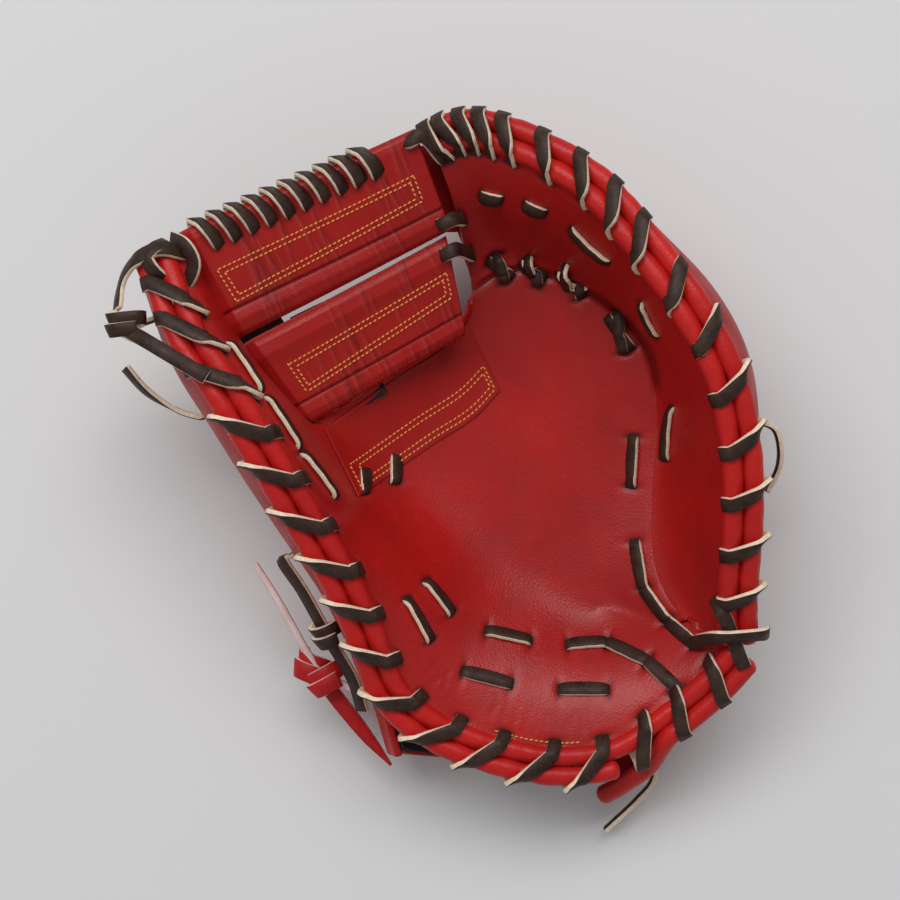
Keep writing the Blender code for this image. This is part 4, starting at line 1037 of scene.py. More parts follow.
WEB_BASE_DASHES = (((-36.5, -18), (-36.7, -8), 4), ((-23.5, -2), (-23.6, -14), -18))
THUMB_DASHES = (((-60, -1), (-47, -19), -20),)
FINGER_DASHES = (
    ((13, 106), (21, 104), -8),
    ((31, 101.5), (39, 98), -8),
    ((50, 91), (65, 77.5), 4),
    ((79, 60.5), (86.4, 47.5), 6),
    ((95, 18), (93, -4), 12),
)


def face_tree(piece):
    """A tree of a leather's face, for finding the leather under a point."""
    points, _ = read_mesh(piece)
    return BVHTree.FromPolygons(points.tolist(), [tuple(face.vertices) for face in piece.data.polygons])


palm_tree = face_tree(palm)
finger_tree = face_tree(finger)


def on_leather(tree, plan, height=AXIS_WEB[2]):
    """The leather's face below a plan point, or else nearest to it at that height, and its way out."""
    point, normal, _, _ = tree.ray_cast(Vector((*plan, FROM_ABOVE)), Vector((0, 0, -1)))
    if point is None:
        point, normal, _, _ = tree.find_nearest(Vector((*plan, height)))
    normal = np.array(normal)
    return np.array(point), normal if normal[2] > 0 else -normal


def dash(find, start, stop, lean, lift=0.0, broad=1.0):
    """One dash of a running lace as smooth rows, and its two slits."""
    start = np.array(start, float)
    stop = np.array(stop, float)
    rows = []
    holes = []
    way = flat(stop - start)
    for share, height, wide in DASH_STEPS:
        place, normal = find(start + share * (stop - start))
        side = np.cross(normal, way)
        height = height if height < 0 else RIDE + lift + DASH_BULGE * height
        rows.append(lace_row(place + height * normal, side, broad * wide, lean if height > 0 else 0.0))
        if height < DASH_HOLE:
            holes.append((place, unit(side), normal))
    return lace_points(rows), holes


def fold_with(piece, slot, *nodes):
    """The finished piece keeps its place, with its transform baked into its points, and its solids are
    hidden.
    """
    square = flat(np.cross(UP, AXIS_WEB - AXIS_NOTCH))
    square = square if square[0] > 0 else -square
    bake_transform(piece)
    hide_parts(*nodes)


def running_lace(name, node, chains, tree, leather, body=None):
    """A running lace of chains of dashes, each with its lean; with no body it is set in place as it is."""
    strands = []
    for *chain, lean in chains:
        for start, stop in zip(chain, chain[1:]):
            rows, holes = dash(lambda plan: on_leather(tree, plan), start, stop, lean, DASH_SINK)
            strands.append(rows)
            punch(leather, holes)
    piece = lace_piece(name, strands)
    if body:
        dress(piece, body, "brown_lace", node)
    else:
        fold_with(piece, "brown_lace", node)


for name, node, dashes in (
    ("heel_felt_lace", "heel_pad_lace", HEEL_PAD_DASHES),
    ("heel_edge_felt_lace", "heel_low_lace", HEEL_LOW_DASHES),
    ("thumb_felt_lace", "thumb_pad_lace", THUMB_PAD_DASHES),
    ("heel_chain_lace", "heel_hinge_lace", HEEL_CHAIN),
    ("hinge_chain_lace", "hinge_lace", HINGE_CHAIN),
    ("pocket_dash_lace", "pocket_lace", POCKET_DASHES),
    ("web_foot_lace", "web_base_lace", WEB_BASE_DASHES),
    ("thumb_face_lace", "thumb_dash_lace", THUMB_DASHES),
):
    running_lace(name, node, dashes, palm_tree, palm)
running_lace("finger_felt_lace", "finger_pad_lace", FINGER_DASHES, finger_tree, finger, FINGER)

# Seam ties: four crossed pairs of short brown lace that draw the finger panel to the palm over the fold seam.
# Each comes up through a slit in the panel, crosses the other of its pair and goes down through the palm.
TIE_DASHES = (
    ((18.5, 82.5), (25.2, 74)),
    ((32.5, 81), (39.6, 73.5)),
    ((48, 77), (57.5, 68)),
    ((70, 58.5), (77.3, 43.5)),
)
TIE_SPREAD, TIE_LEAN, TIE_WIDE = 1.9, 18, 0.82


def on_either(plan):
    """The finger panel where it is, and otherwise the palm."""
    hit = finger_tree.ray_cast(Vector((*plan, FROM_ABOVE)), Vector((0, 0, -1)))[0]
    return on_leather(finger_tree if hit else palm_tree, plan)


tie_strands = []
for start, stop in TIE_DASHES:
    start = np.array(start, float)
    stop = np.array(stop, float)
    step = TIE_SPREAD * np.array([stop[1] - start[1], start[0] - stop[0]]) / np.linalg.norm(stop - start)
    for sign, lift in ((1, 0.0), (-1, LACE_T)):
        rows, holes = dash(on_either, start + sign * step, stop - sign * step, TIE_LEAN, lift, TIE_WIDE)
        tie_strands.append(rows)
        punch(finger, holes[:1])
        punch(palm, holes[1:])
seam_ties = lace_piece("seam_ties", tie_strands)
fold_with(seam_ties, "brown_lace", "seam_lace")

# Notch laces: where the heel and the finger half meet at the rim, one lace runs from the hinge chain right
# over both rolls and another passes down under it to a cut end.
LOW_COURSE = (
    (110, -62.5, 73),
    (112, -66, 79),
    (114.7, -71, 78),
    (117.7, -78, 74.2),
    (120.6, -85, 72),
    (123.3, -91, 70.5),
)
NOTCH_FROM_END = 3.0
LOW_SIDE = (0.83, 0.55, 0)
NOTCH_LEAN = 16
HIGH_LIFT = 3.2
finger_start = RimSection(finger_rim, NOTCH_FROM_END)
notch_place, notch_normal = on_leather(palm_tree, HINGE_CHAIN[0][-2])
low_rows = [lace_row(p, LOW_SIDE, 0.7 if i == 0 else 1, NOTCH_LEAN) for i, p in enumerate(LOW_COURSE)]
high = ROLL_TOP + HIGH_LIFT
high_rows = [
    lace_row(notch_place - 4 * notch_normal, finger_start.along, 0.7),
    lace_row(notch_place + RIDE * notch_normal, finger_start.along),
    lace_row(finger_start.palm_roll + high * unit(UP - finger_start.out), finger_start.along, 1, NOTCH_LEAN),
    lace_row(finger_start.palm_roll + high * UP, finger_start.along, 1, NOTCH_LEAN),
    lace_row(finger_start.back_roll + high * UP, finger_start.along, 1, NOTCH_LEAN),
    lace_row(finger_start.back_roll + high * unit(UP + finger_start.out), finger_start.along, 1, NOTCH_LEAN),
    lace_row(finger_start.back_roll + high * finger_start.out - 3 * UP, finger_start.along, 0.9),
]
fold_with(lace_piece("notch_under_lace", [lace_points(low_rows)]), "brown_lace", "notch_lace_low")
fold_with(lace_piece("notch_over_lace", [lace_points(high_rows)]), "brown_lace", "notch_lace_high")

# The palm leather is laced to the rim, the padding and the notch by now, so its face is finished. It is set
# in place as one hide.
fold_with(palm, "red_leather", "palm_leather")

# Seam welt: a strip of the same hide sewn into the fold seam from the notch up, on the finger panel's side.
# It lies out of sight beneath the palm and keeps the seam shut when the pocket folds.
WELT_START, WELT_STOP = 0.03, 0.6
WELT_OUT, WELT_IN, WELT_REACH = 1.5, 2.0, 16.0
WELT_DEPTH = 3.4
WELT_THICK = 1.4
WELT_COLUMNS, WELT_ROWS = 60, 9
welt_face = []
for share in np.linspace(WELT_START, WELT_STOP, WELT_COLUMNS):
    distance = share * fold_seam.length
    seam_point = fold_seam.row(distance)[:3]
    seam_out = flat(np.cross(fold_seam.along(distance, SEAM_SMOOTH), UP))
    column = [seam_point + WELT_OUT * seam_out - WELT_DEPTH * UP]
    for step in np.linspace(WELT_IN, WELT_REACH, WELT_ROWS):
        place, normal = on_leather(palm_tree, (seam_point - step * seam_out)[:2], seam_point[2])
        column.append(place - WELT_DEPTH * normal)
    welt_face.append(column)
welt = leather_piece("seam_welt", np.array(welt_face), WELT_THICK, finger_red)
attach(welt, FINGER)

# Web: two bars of folded hide between the thumb and the fingers. Each is a padded fold with a flap turned
# over its face and sewn down with two rows of orange thread, and creases run across it.
TOP_BAR = ((-106.5, 90.5, 94), (-15.5, 131, 90), (-0.5, 91.5, 73), (-84.5, 47.5, 81))
MIDDLE_BAR = ((-82, 46.2, 78.5), (-2.5, 89, 72.5), (6, 49, 54), (-58, 11.8, 62))
BAR_SAG = 3.0
BAR_TUCK = -0.085
BAR_TUCK_DROP = 5.0
BAR_STEP = 0.45
TOP_FACE = (
    *((0, 0), (0.015, 1.7), (0.05, 3.2), (0.14, 4.4), (0.22, 3.5), (0.252, 2.7)),
    *((0.26, 4.1), (0.6, 4.3), (0.9, 3.5), (0.96, 2.7), (0.99, 1.3), (1, 0)),
)
MIDDLE_FACE = (
    *((0, 0), (0.015, 1.7), (0.05, 3.0), (0.13, 4.2), (0.22, 3.4), (0.252, 2.6)),
    *((0.26, 4.0), (0.62, 3.9), (0.7, 3.9), (0.82, 4.6), (0.93, 3.4), (0.98, 1.7), (1, 0)),
)
TOP_BOX = ((0.025, 0.60), (0.935, 0.635), (0.935, 0.385), (0.035, 0.295))
MIDDLE_BOX = ((0.07, 0.64), (0.965, 0.70), (0.965, 0.45), (0.07, 0.32))
ROW_GAP = 2.3
TOP_CREASES = 60
MIDDLE_CREASES = 44
# The least and the most of each crease: its place along and across the bar, reach, slant, width and depth
CREASE_LEAST = (0.15, 0.05, 0.06, -0.07, 0.45, 0.10)
CREASE_MOST = (0.98, 0.95, 0.26, 0.07, 1.1, 0.45)
BACK_FULL = 0.7
BAR_END = ((1.006, 0.7), (1.01, 0.3))
BAR_START = 0.5
crease_draw = np.random.default_rng(11)


class Bar:
    """A web bar between four corners: top left, top right, bottom right, bottom left."""

    def __init__(self, corners, face, creases):
        self.top_left, self.top_right, self.low_right, self.low_left = (np.array(c, float) for c in corners)
        self.face = np.array(face)
        self.long = np.linalg.norm(self.top_right - self.top_left)
        self.creases = crease_draw.uniform(CREASE_LEAST, CREASE_MOST, (creases, len(CREASE_LEAST))).T

    def crease_depth(self, s, t):
        """How deep the creases are at a place, in millimetres."""
        at, middle, reach, slant, wide, deep = self.creases
        off = (s - at - slant * (t - middle)) * self.long / wide
        return np.sum(deep * np.exp(-(off**2) - ((t - middle) / reach) ** 2))

    def ends(self, s):
        sag = BAR_SAG * 4 * max(s, 0) * (1 - s) + BAR_TUCK_DROP * max(s / BAR_TUCK, 0)
        top = self.top_left + s * (self.top_right - self.top_left) - sag * UP
        low = self.low_left + s * (self.low_right - self.low_left) - sag * UP
        return low, top

    def normal(self, s):
        low, top = self.ends(s)
        return unit(np.cross(self.top_right - self.top_left, top - low))

    def at(self, s, t, lift=0.0, front=True):
        """A point on the bar's front or back, t of the way from its low edge to its top edge."""
        low, top = self.ends(s)
        height = np.interp(t, *self.face.T)
        height = height - self.crease_depth(s, t) if front else -height * BACK_FULL
        return low + t * (top - low) + (height + (lift if front else -lift)) * self.normal(s)

    def ring(self, s, shrink=1.0):
        shares = np.unique(np.concatenate([self.face[:, 0], np.linspace(0.02, 0.98, 34)]))
        front = [self.at(s, t) for t in shares]
        back = [self.at(s, t, front=False) for t in shares[-2:0:-1]]
        ring = np.array(front + back)
        low, _ = self.ends(s)
        away = (ring - low) @ self.normal(s)
        return ring - (1 - shrink) * away[:, None] * self.normal(s)

    def rings(self):
        shares = np.linspace(BAR_TUCK, 1, round(self.long / BAR_STEP))
        rings = [self.ring(shares[0], BAR_START), *[self.ring(s) for s in shares]]
        rings += [self.ring(s, shrink) for s, shrink in BAR_END]
        return np.array(rings)[::-1]


def thread_orange():
    """Waxed orange sewing thread with its twist."""
    finish = Finish("thread_orange", Roughness=0.5)
    twist = finish.span(finish.noise(1800.0, 2.0), 0.3, 0.7)
    colour = finish.mix(twist, (0.86, 0.36, 0.085), (0.60, 0.18, 0.03))
    return finish.wire(Base_Color=colour, Normal=finish.bump(twist, 0.3, 0.0001))


thread = thread_orange()
STITCH_PITCH = 2.2
STITCH_LONG = 1.75
STITCH_R = 0.4
STITCH_SIDES = 6
STITCH_NEAR = 0.6
STITCH_SKEW = 0.12
STITCH_LIFT = 0.05
STITCH_RINGS = (
    (-0.5, -0.9, 0.3),
    (-0.36, 0.1, 0.9),
    (-0.12, 0.42, 1),
    (0.12, 0.42, 1),
    (0.36, 0.1, 0.9),
    (0.5, -0.9, 0.3),
)


def stitch_tubes(points, normals):
    """Small threads end to end along a line of close points that lie on the leather."""
    points = np.asarray(points, float)
    normals = np.asarray(normals, float)
    far = np.concatenate([[0.0], np.cumsum(np.linalg.norm(np.diff(points, axis=0), axis=1))])
    turns = np.linspace(0, 2 * math.pi, STITCH_SIDES + 1)[:-1, None]

    def read(rows, place):
        return np.array([np.interp(place, far, column) for column in rows.T])

    tubes = []
    for place in np.arange(STITCH_PITCH / 2, far[-1], STITCH_PITCH):
        here = read(points, place)
        up = unit(read(normals, place))
        way = unit(read(points, place + STITCH_NEAR) - read(points, place - STITCH_NEAR))
        side = unit(np.cross(up, way))
        way = unit(way + STITCH_SKEW * side)
        turned = np.cos(turns) * side + np.sin(turns) * up
        rings = []
        for x, z, size in STITCH_RINGS:
            rings.append(here + x * STITCH_LONG * way + z * STITCH_R * up + size * STITCH_R * turned)
        tubes.append(np.array(rings)[:, ::-1])
    return tubes


def box_rows(bar, corners):
    """Two rows of stitches round a box on a bar's face, one inside the other."""
    tubes = []
    wide = np.linalg.norm(bar.top_left - bar.low_left)
    for inset in (0.0, ROW_GAP):
        ds, dt = inset / bar.long, inset / wide
        signs = ((1, -1), (-1, -1), (-1, 1), (1, 1))
        box = [np.array([s + a * ds, t + b * dt]) for (s, t), (a, b) in zip(corners, signs)]
        for first, last in zip(box, box[1:] + box[:1]):
            line = [first + f * (last - first) for f in np.linspace(0, 1, 60)]
            points = [bar.at(*p, lift=STITCH_LIFT) for p in line]
            tubes += stitch_tubes(points, [bar.normal(p[0]) for p in line])
    return tubes


def mark_creases(piece, bar):
    """Paints a highlight on one side of each crease and painted shade into the crease itself."""
    points, _ = read_mesh(piece)
    sink = np.zeros(len(points))
    rubbed = np.zeros(len(points))
    dark = np.zeros(len(points))
    along = unit(bar.top_right - bar.top_left)
    for i, point in enumerate(points):
        s = np.dot(point - bar.top_left, along) / bar.long
        low, top = bar.ends(s)
        t = np.dot(point - low, top - low) / np.dot(top - low, top - low)
        # One side of each crease is painted pale as a highlight, and the crease gets painted shade
        rubbed[i] = np.clip(0.6 * (bar.crease_depth(s + 0.008, t) - bar.crease_depth(s, t)), 0, 0.09)
        dark[i] = np.clip(0.7 * bar.crease_depth(s, t), 0, 0.35)
    press(piece, sink, rubbed=rubbed, dark=dark)


BEND_FROM = 0.55
web_red = red_leather("web_red", red=(0.37, 0.0105, 0.0075), grain=700.0, shine=0.38)
top_bar = Bar(TOP_BAR, TOP_FACE, TOP_CREASES)
middle_bar = Bar(MIDDLE_BAR, MIDDLE_FACE, MIDDLE_CREASES)
for name, node, bar, box in (
    ("web_top", "web_top_bar", top_bar, TOP_BOX),
    ("web_middle", "web_middle_bar", middle_bar, MIDDLE_BOX),
):
    piece = add_piece(name, skin(name, [bar.rings()]), web_red)
    mark_creases(piece, bar)
    rows = add_piece(name + "_stitches", skin(name + "_stitches", box_rows(bar, box)), thread)
    bar.bend = (world(bar.at(BEND_FROM, 0.5)), world(bar.at(1.0, 0.5)))
    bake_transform(piece)
    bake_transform(rows)
    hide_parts(node)

# Web laces: a whip lace of brown rawhide along the top bar's upper edge, and short links from the bars to the
# finger panel, each drawn through a slit in it.
WHIPS = 10
WIDE_WHIPS = 8
WHIP_FIRST = 0.08
WHIP_PITCH = 0.08
WHIP_BROAD = 1.25
WHIP_PAST = 60.0
WHIP_ROWS = (
    (0.0, 0.78, -4, 0.75, 0),
    (0.0, 0.78, 0.3, 0.85, 25),
    (-0.001, 0.83, 2.0, 1, 38),
    (-0.006, 0.90, 2.6, 1, 42),
    (-0.016, 0.96, 2.6, 1, 40),
    (-0.030, 1.005, 1.6, 1, 34),
    (-0.042, 1.025, -0.8, 1, 26),
    (-0.050, 1.02, -3.4, 1, 10),
    (-0.054, 0.97, -6.4, 1, 0),
    (-0.056, 0.9, -6.4, 0.9, 0),
)


def bar_row(bar, s, t, lift, wide, lean, side):
    """A row of a lace at a place on a bar, also past its upper edge."""
    past = max(t - 1.0, 0) * WHIP_PAST * unit(bar.top_left - bar.low_left)
    return lace_row(bar.at(s, min(t, 1.0), lift) + past, side, wide, lean)


whip_strands = []
for i in range(WHIPS):
    s = WHIP_FIRST + WHIP_PITCH * i
    along = top_bar.top_right - top_bar.top_left
    broad = WHIP_BROAD if i >= WIDE_WHIPS else 1.0
    rows = []
    for ds, t, lift, wide, lean in WHIP_ROWS:
        rows.append(bar_row(top_bar, s + ds, t, lift, broad * wide, lean, -along))
    whip_strands.append(lace_points(rows))
whip = lace_piece("web_whip_lace", whip_strands)
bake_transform(whip)
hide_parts("web_top_lace")


def web_link(name, node, bar, s, t, finger_plan, height=AXIS_WEB[2]):
    """A lace from a bar's right end to a slit in the finger panel."""
    place, normal = on_leather(finger_tree, finger_plan, height)
    start = bar.at(s, t, RIDE)
    side = np.cross(UP, place - start)
    rows = [
        lace_row(bar.at(s, t, -5), side, 0.7),
        lace_row(start, side, 0.9),
        lace_row(bar.at(1.0, t, 1.6) + 3 * unit(bar.top_right - bar.top_left), side),
        lace_row(place + (RIDE + 0.4) * normal, side, 0.9),
        lace_row(place - 4 * normal, side, 0.7),
    ]
    punch(finger, [(place, unit(side), normal)])
    piece = lace_piece(name, [lace_points(rows)])
    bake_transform(piece)
    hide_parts(node)


web_link("top_link", "web_link_top", top_bar, 0.965, 0.93, (-6.5, 127), 84.0)
web_link("upper_link", "web_link_upper", top_bar, 0.97, 0.12, (5, 98))
web_link("lower_link", "web_link_lower", middle_bar, 0.97, 0.88, (9, 84))

# Behind the bars: brown laces that hold the bars to each other and to the fingers, and a gusset of thin hide
# that closes the corner beside the finger panel. They are seen only in the gaps.
BEHIND = (
    ((-88, 43, 71), (-80, 48.5, 71), (-70, 54, 69)),
    ((-66, 53, 66), (-55, 58.5, 65), (-43, 64, 63)),
    ((-57, 10.5, 52), (-44, 18, 50), (-28, 27, 48)),
    ((-15.5, 124, 62), (-11, 114, 61), (-6.5, 104, 60)),
)
behind_strands = []
for course in BEHIND:
    way = np.array(course[-1], float) - np.array(course[0], float)
    behind_strands.append(lace_points([lace_row(p, np.cross(UP, way)) for p in course]))
GUSSET_LEFT = ((-22, 127, 78), (-14, 110, 71), (-5, 92, 62))
GUSSET_RIGHT = ((-3, 127, 73), (3, 111, 62), (8, 94, 50))
GUSSET_SAG = 4.0
GUSSET_THICK = 1.6
gusset_rows = np.linspace(0, 1, 14)[:, None]
gusset_sag = GUSSET_SAG * gusset_rows * (1 - gusset_rows) * UP
gusset_face = []
for f in np.linspace(0, 2, 40):
    left_end, right_end = (smooth_row(np.array(side, float), f) for side in (GUSSET_LEFT, GUSSET_RIGHT))
    gusset_face.append(left_end + gusset_rows * (right_end - left_end) - gusset_sag)
gusset = leather_piece("web_gusset", np.array(gusset_face), GUSSET_THICK, web_red, flip=True)
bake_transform(gusset)
behind = lace_piece("web_inner_laces", behind_strands)
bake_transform(behind)

# Thumb top and free edge laces: the web's lacing ends over the thumb tip in flat turns of the brown lace, and
# a lace on edge ties the web to the thumb's free edge through slits in the palm leather.
TIP_COURSE = (
    *((-107, 79.5, 90), (-109.5, 80, 97.5), (-115, 81, 102.3), (-120.5, 80, 102.6)),
    *((-126.5, 76.5, 101.5), (-131.5, 71.5, 97), (-134, 65, 95), (-134.5, 57, 98)),
)
TIP_SIDES = ((0, -1, 0),) * 5 + ((0.6, -0.3, 0.6),) * 3
TIP_WIDTHS = (0.7,) + (1,) * 7
TIP_LEAN = 25
tip_rows = [lace_row(*row, TIP_LEAN) for row in zip(TIP_COURSE, TIP_SIDES, TIP_WIDTHS)]
TIP_LOOPS = (
    ((-115, 84, 96), (-118.5, 81.5, 102.5), (-122, 77.5, 103.4), (-119.5, 72.5, 103), (-116, 69, 98)),
    ((-113, 86, 94), (-107, 82.5, 100), (-103.5, 76, 100), (-105.5, 69.5, 97), (-110, 66, 92)),
)
LOOP_LEAN = 30
tip_strands = [lace_points(tip_rows)]
for course in TIP_LOOPS:
    loop = np.array(course, float)
    loop_sides = np.cross(UP, np.gradient(loop, axis=0))
    loop_rows = [lace_row(p, side, 1, LOOP_LEAN) for p, side in zip(loop, loop_sides)]
    tip_strands.append(lace_points(loop_rows))
tip_lace = lace_piece("thumb_top_lace", tip_strands)
dress(tip_lace, THUMB, "brown_lace", "thumb_tip_lace")

EDGE_DASHES = (((-90, 44), (-76.5, 24)), ((-75, 22), (-61.5, 1)))
EDGE_LEAN, EDGE_WIDE = -16, 0.72
edge_strands = []
for ends in EDGE_DASHES:
    rows, _ = dash(lambda plan: on_leather(palm_tree, plan), *ends, EDGE_LEAN, 0.0, EDGE_WIDE)
    edge_strands.append(rows)
edge_lace = lace_piece("thumb_free_edge_lace", edge_strands)
dress(edge_lace, THUMB, "brown_lace", "web_thumb_lace")

# Web base: the palm's upper edge turned over as a hem below the bars, in the web's darker red. It is sewn
# down flat on the palm with two rows of orange thread round a box.
HEM_OUT = ((-54, 9), (-25, 30), (-5, 43), (7.5, 55))
HEM_IN = ((-39, -20), (-9.5, 1), (10, 13.5), (22, 26))
HEM_THICK = 0.8
HEM_REST = 0.1
HEM_COLUMNS = 70
HEM_ROWS = 24
HEM_EDGE = 0.35
HEM_TOP, HEM_LOW, HEM_LEFT, HEM_RIGHT = 0.58, 0.93, 0.02, 0.96
HEM_LONG, HEM_TALL = 76.0, 32.0


def hem_point(f, g, lift):
    """A point over the palm at a share along the hem and a share down from the palm's upper edge."""
    out_end = smooth_row(np.array(HEM_OUT, float), f * (len(HEM_OUT) - 1))
    in_end = smooth_row(np.array(HEM_IN, float), f * (len(HEM_IN) - 1))
    place, normal = on_leather(palm_tree, out_end + g * (in_end - out_end))
    return place + lift * normal


hem_shares = np.linspace(0, 1, HEM_COLUMNS)
hem_drops = np.linspace(0, 1, HEM_ROWS)
hem_face = np.array([[hem_point(f, g, HEM_THICK + HEM_REST) for g in hem_drops] for f in hem_shares])
hem = leather_piece("web_hem", hem_face, HEM_THICK, web_red, flip=True, round_edge=HEM_EDGE)
dress(hem, THUMB, "red_leather", "web_base_panel")
hem_lines = []
for inset in (0.0, ROW_GAP):
    df, dg = inset / HEM_LONG, inset / HEM_TALL
    left, right, top, low = HEM_LEFT + df, HEM_RIGHT - df, HEM_TOP + dg, HEM_LOW - dg
    box = ((left, top), (right, top), (right, low), (left, low), (left, top))
    for first, last in zip(box, box[1:]):
        line = [np.array(first) + f * (np.array(last) - first) for f in np.linspace(0, 1, 60)]
        hem_line = [hem_point(*p, HEM_THICK + HEM_REST + STITCH_LIFT) for p in line]
        hem_lines += stitch_tubes(hem_line, [UP] * len(line))
hem_rows = add_piece("web_hem_stitches", skin("web_hem_stitches", hem_lines), thread)
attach(hem_rows, THUMB)

# Wrist strap: a band of the same red hide that runs under the heel from the thumb side. The side of the hand
# is lined with soft black glove leather, cut a little narrower than the band.
STRAP_LINE = (
    (-27, -120.5, 45),
    (-31, -121.5, 27),
    (-22, -124, 7),
    (5, -127, 0),
    (34, -131, 0),
    (52, -134, 5),
)
STRAP_THICK = 3.4
STRAP_WIDTH = 26.0
STRAP_ACROSS = np.array([-0.3, 1.0, 0.0])
STRAP_EDGE = 0.9
LINING = 1.4
LINING_REST = 0.3
LINING_INSET = 3.0
strap_route = Route(STRAP_LINE)


def strap_face(inset, width):
    """Points of the strap's face, set in from its outer face."""
    grid = []
    for d in np.linspace(0, strap_route.length, 90):
        way = strap_route.along(d)
        across = unit(STRAP_ACROSS - np.dot(STRAP_ACROSS, way) * way)
        middle = strap_route.row(d)[:3]
        middle[2] = max(middle[2], 0.0)
        middle = middle + inset * unit(np.cross(way, across))
        grid.append([middle + f * width * across for f in np.linspace(-0.5, 0.5, 20)])
    grid = np.array(grid)
    grid[:, :, 2] = np.maximum(grid[:, :, 2], inset)
    return grid


def black_leather():
    """Soft black glove lining: matt, with a fine nap."""
    finish = Finish("lining_black", Specular_IOR_Level=0.3)
    cloud = finish.span(finish.noise(60.0, 4.0), 0.3, 0.7)
    colour = finish.mix(cloud, (0.010, 0.010, 0.011), (0.022, 0.021, 0.021))
    nap = finish.bump(finish.noise(1100.0, 3.0), 0.3, 0.0003)
    return finish.wire(Base_Color=colour, Roughness=finish.span(cloud, 0, 1, 0.6, 0.8), Normal=nap)


strap_outer = strap_face(0, STRAP_WIDTH)
strap = leather_piece("strap", strap_outer, STRAP_THICK, back_red, flip=True, round_edge=STRAP_EDGE)
dress(strap, THUMB, "red_leather", "wrist_strap")
black = black_leather()
lining_face = strap_face(STRAP_THICK + LINING_REST, STRAP_WIDTH - LINING_INSET)
strap_inside = leather_piece("strap_inside", lining_face, LINING, black, flip=True)
dress(strap_inside, THUMB, "black_lining", "strap_lining")

# Padding and hand lining: three felt pads under the palm and the finger panel, and the soft leather that the
# hand feels. They lie inside the mitt and show only through the hand opening.
PAD_DEPTH = LEATHER + 5.2
PALM_PAD = 8.0
FINGER_PAD = 5.0
LINING_GAP = 1.0
PAD_FINE = 12
PAD_EDGE = 1.8
FINGER_PAD_COLUMNS = 100


def beneath(grid, depth):
    """The same face, a depth below it."""
    normals = unit(np.cross(np.gradient(grid, axis=0), np.gradient(grid, axis=1)))
    return grid - depth * normals


def felt_grey():
    """Pressed wool felt: fibres every way, and no shine."""
    finish = Finish("felt", Specular_IOR_Level=0.1, Sheen_Weight=0.3)
    fibre = finish.span(finish.noise(800.0, 6.0, 0.7), 0.3, 0.7)
    colour = finish.mix(fibre, (0.58, 0.53, 0.45), (0.42, 0.37, 0.30))
    dull = finish.span(fibre, 0, 1, 0.85, 1.0)
    return finish.wire(Base_Color=colour, Roughness=dull, Normal=finish.bump(fibre, 0.5, 0.0006))


felt = felt_grey()
inside_grid = palm_grid(PAD_FINE, np.linspace(0.3, 0.75, 36))
pad_face = beneath(inside_grid, PAD_DEPTH)
finger_inside = finger_grid(FINGER_PAD_COLUMNS, np.linspace(0.3, 0.8, 36))
finger_pad_face = beneath(finger_inside, PAD_DEPTH)
for name, node, face, thick, body in (
    ("thumb_felt", "thumb_pad", pad_face[36:55, :29], PALM_PAD, THUMB),
    ("heel_felt", "heel_pad", pad_face[66:85], PALM_PAD, THUMB),
    ("finger_felt", "finger_pad", finger_pad_face[20:81, :29], FINGER_PAD, FINGER),
):
    pad = leather_piece(name, face, thick, felt, round_edge=PAD_EDGE)
    dress(pad, body, "felt", node)
palm_inner = beneath(inside_grid, PAD_DEPTH + PALM_PAD + LINING_GAP)[36:85]
palm_inside = leather_piece("palm_inside", palm_inner, LINING, black)
dress(palm_inside, THUMB, "black_lining", "palm_lining")
finger_inner = beneath(finger_inside, PAD_DEPTH + FINGER_PAD + LINING_GAP)[20:81, 7:22]
dress(leather_piece("finger_inside", finger_inner, LINING, black), FINGER, "black_lining", "finger_lining")

# Loose lace ends: the cut ends of the lacing, left long outside the mitt. Brown ends come from the rim
# lacing, each out of a slit in a back leather, and red ones from the wrist strap's own lace.
back_trees = {piece.name: face_tree(piece) for piece in (thumb_back, finger_back, heel_back)}
THUMB_TAIL = ((-122, 54, 82), ((-132, 49, 97), (-124, 45, 106), (-112, 38, 110.5), (-97, 29, 111)))
THUMB_BACK_TAIL = ((-104, 15, 62), ((-116, 17, 58), (-129, 25, 57), (-138, 35, 58)))
FINGER_TAIL = ((130, 12, 56), ((138.5, 9, 54), (141.5, 1, 51), (141.5, -8, 46), (138, -17, 40)))
HEEL_TAIL = ((88, -128, 22), ((91, -146, 16), (84, -157, 11), (70, -171, 8)))
WRIST_LACE = (
    (-60, -40, 58),
    ((-71, -47, 59), (-63, -59, 59), (-56, -72, 56), (-50, -84, 50), (-42, -99, 44), (-38, -113, 40)),
)
RED_UP = ((-39, -107, 33), (-48, -102, 35), (-57, -96.5, 35), (-63, -87, 38), (-74, -66, 44), (-84, -49, 45))
RED_DOWN = ((-52, -106, 30), (-46, -114, 28), (-36, -127, 26), (-26, -139, 25))


def red_lace(name, colour, deep):
    """Dyed rawhide: streaks along the hide and a dull shine."""
    finish = Finish(name, Specular_IOR_Level=0.22)
    streak = finish.span(finish.noise(160.0, 4.0, 0.6), 0.35, 0.7)
    hide = finish.bump(finish.noise(900.0, 3.0), 0.25, 0.0003)
    gloss = finish.span(finish.noise(300.0), 0.3, 0.7, 0.42, 0.6)
    return finish.wire(Base_Color=finish.mix(streak, colour, deep), Roughness=gloss, Normal=hide)


red_lace_pair = (red_lace("lace_red", (0.46, 0.011, 0.013), (0.34, 0.008, 0.010)),
                 red_lace("lace_pink", (0.84, 0.66, 0.64), (0.70, 0.48, 0.46)))


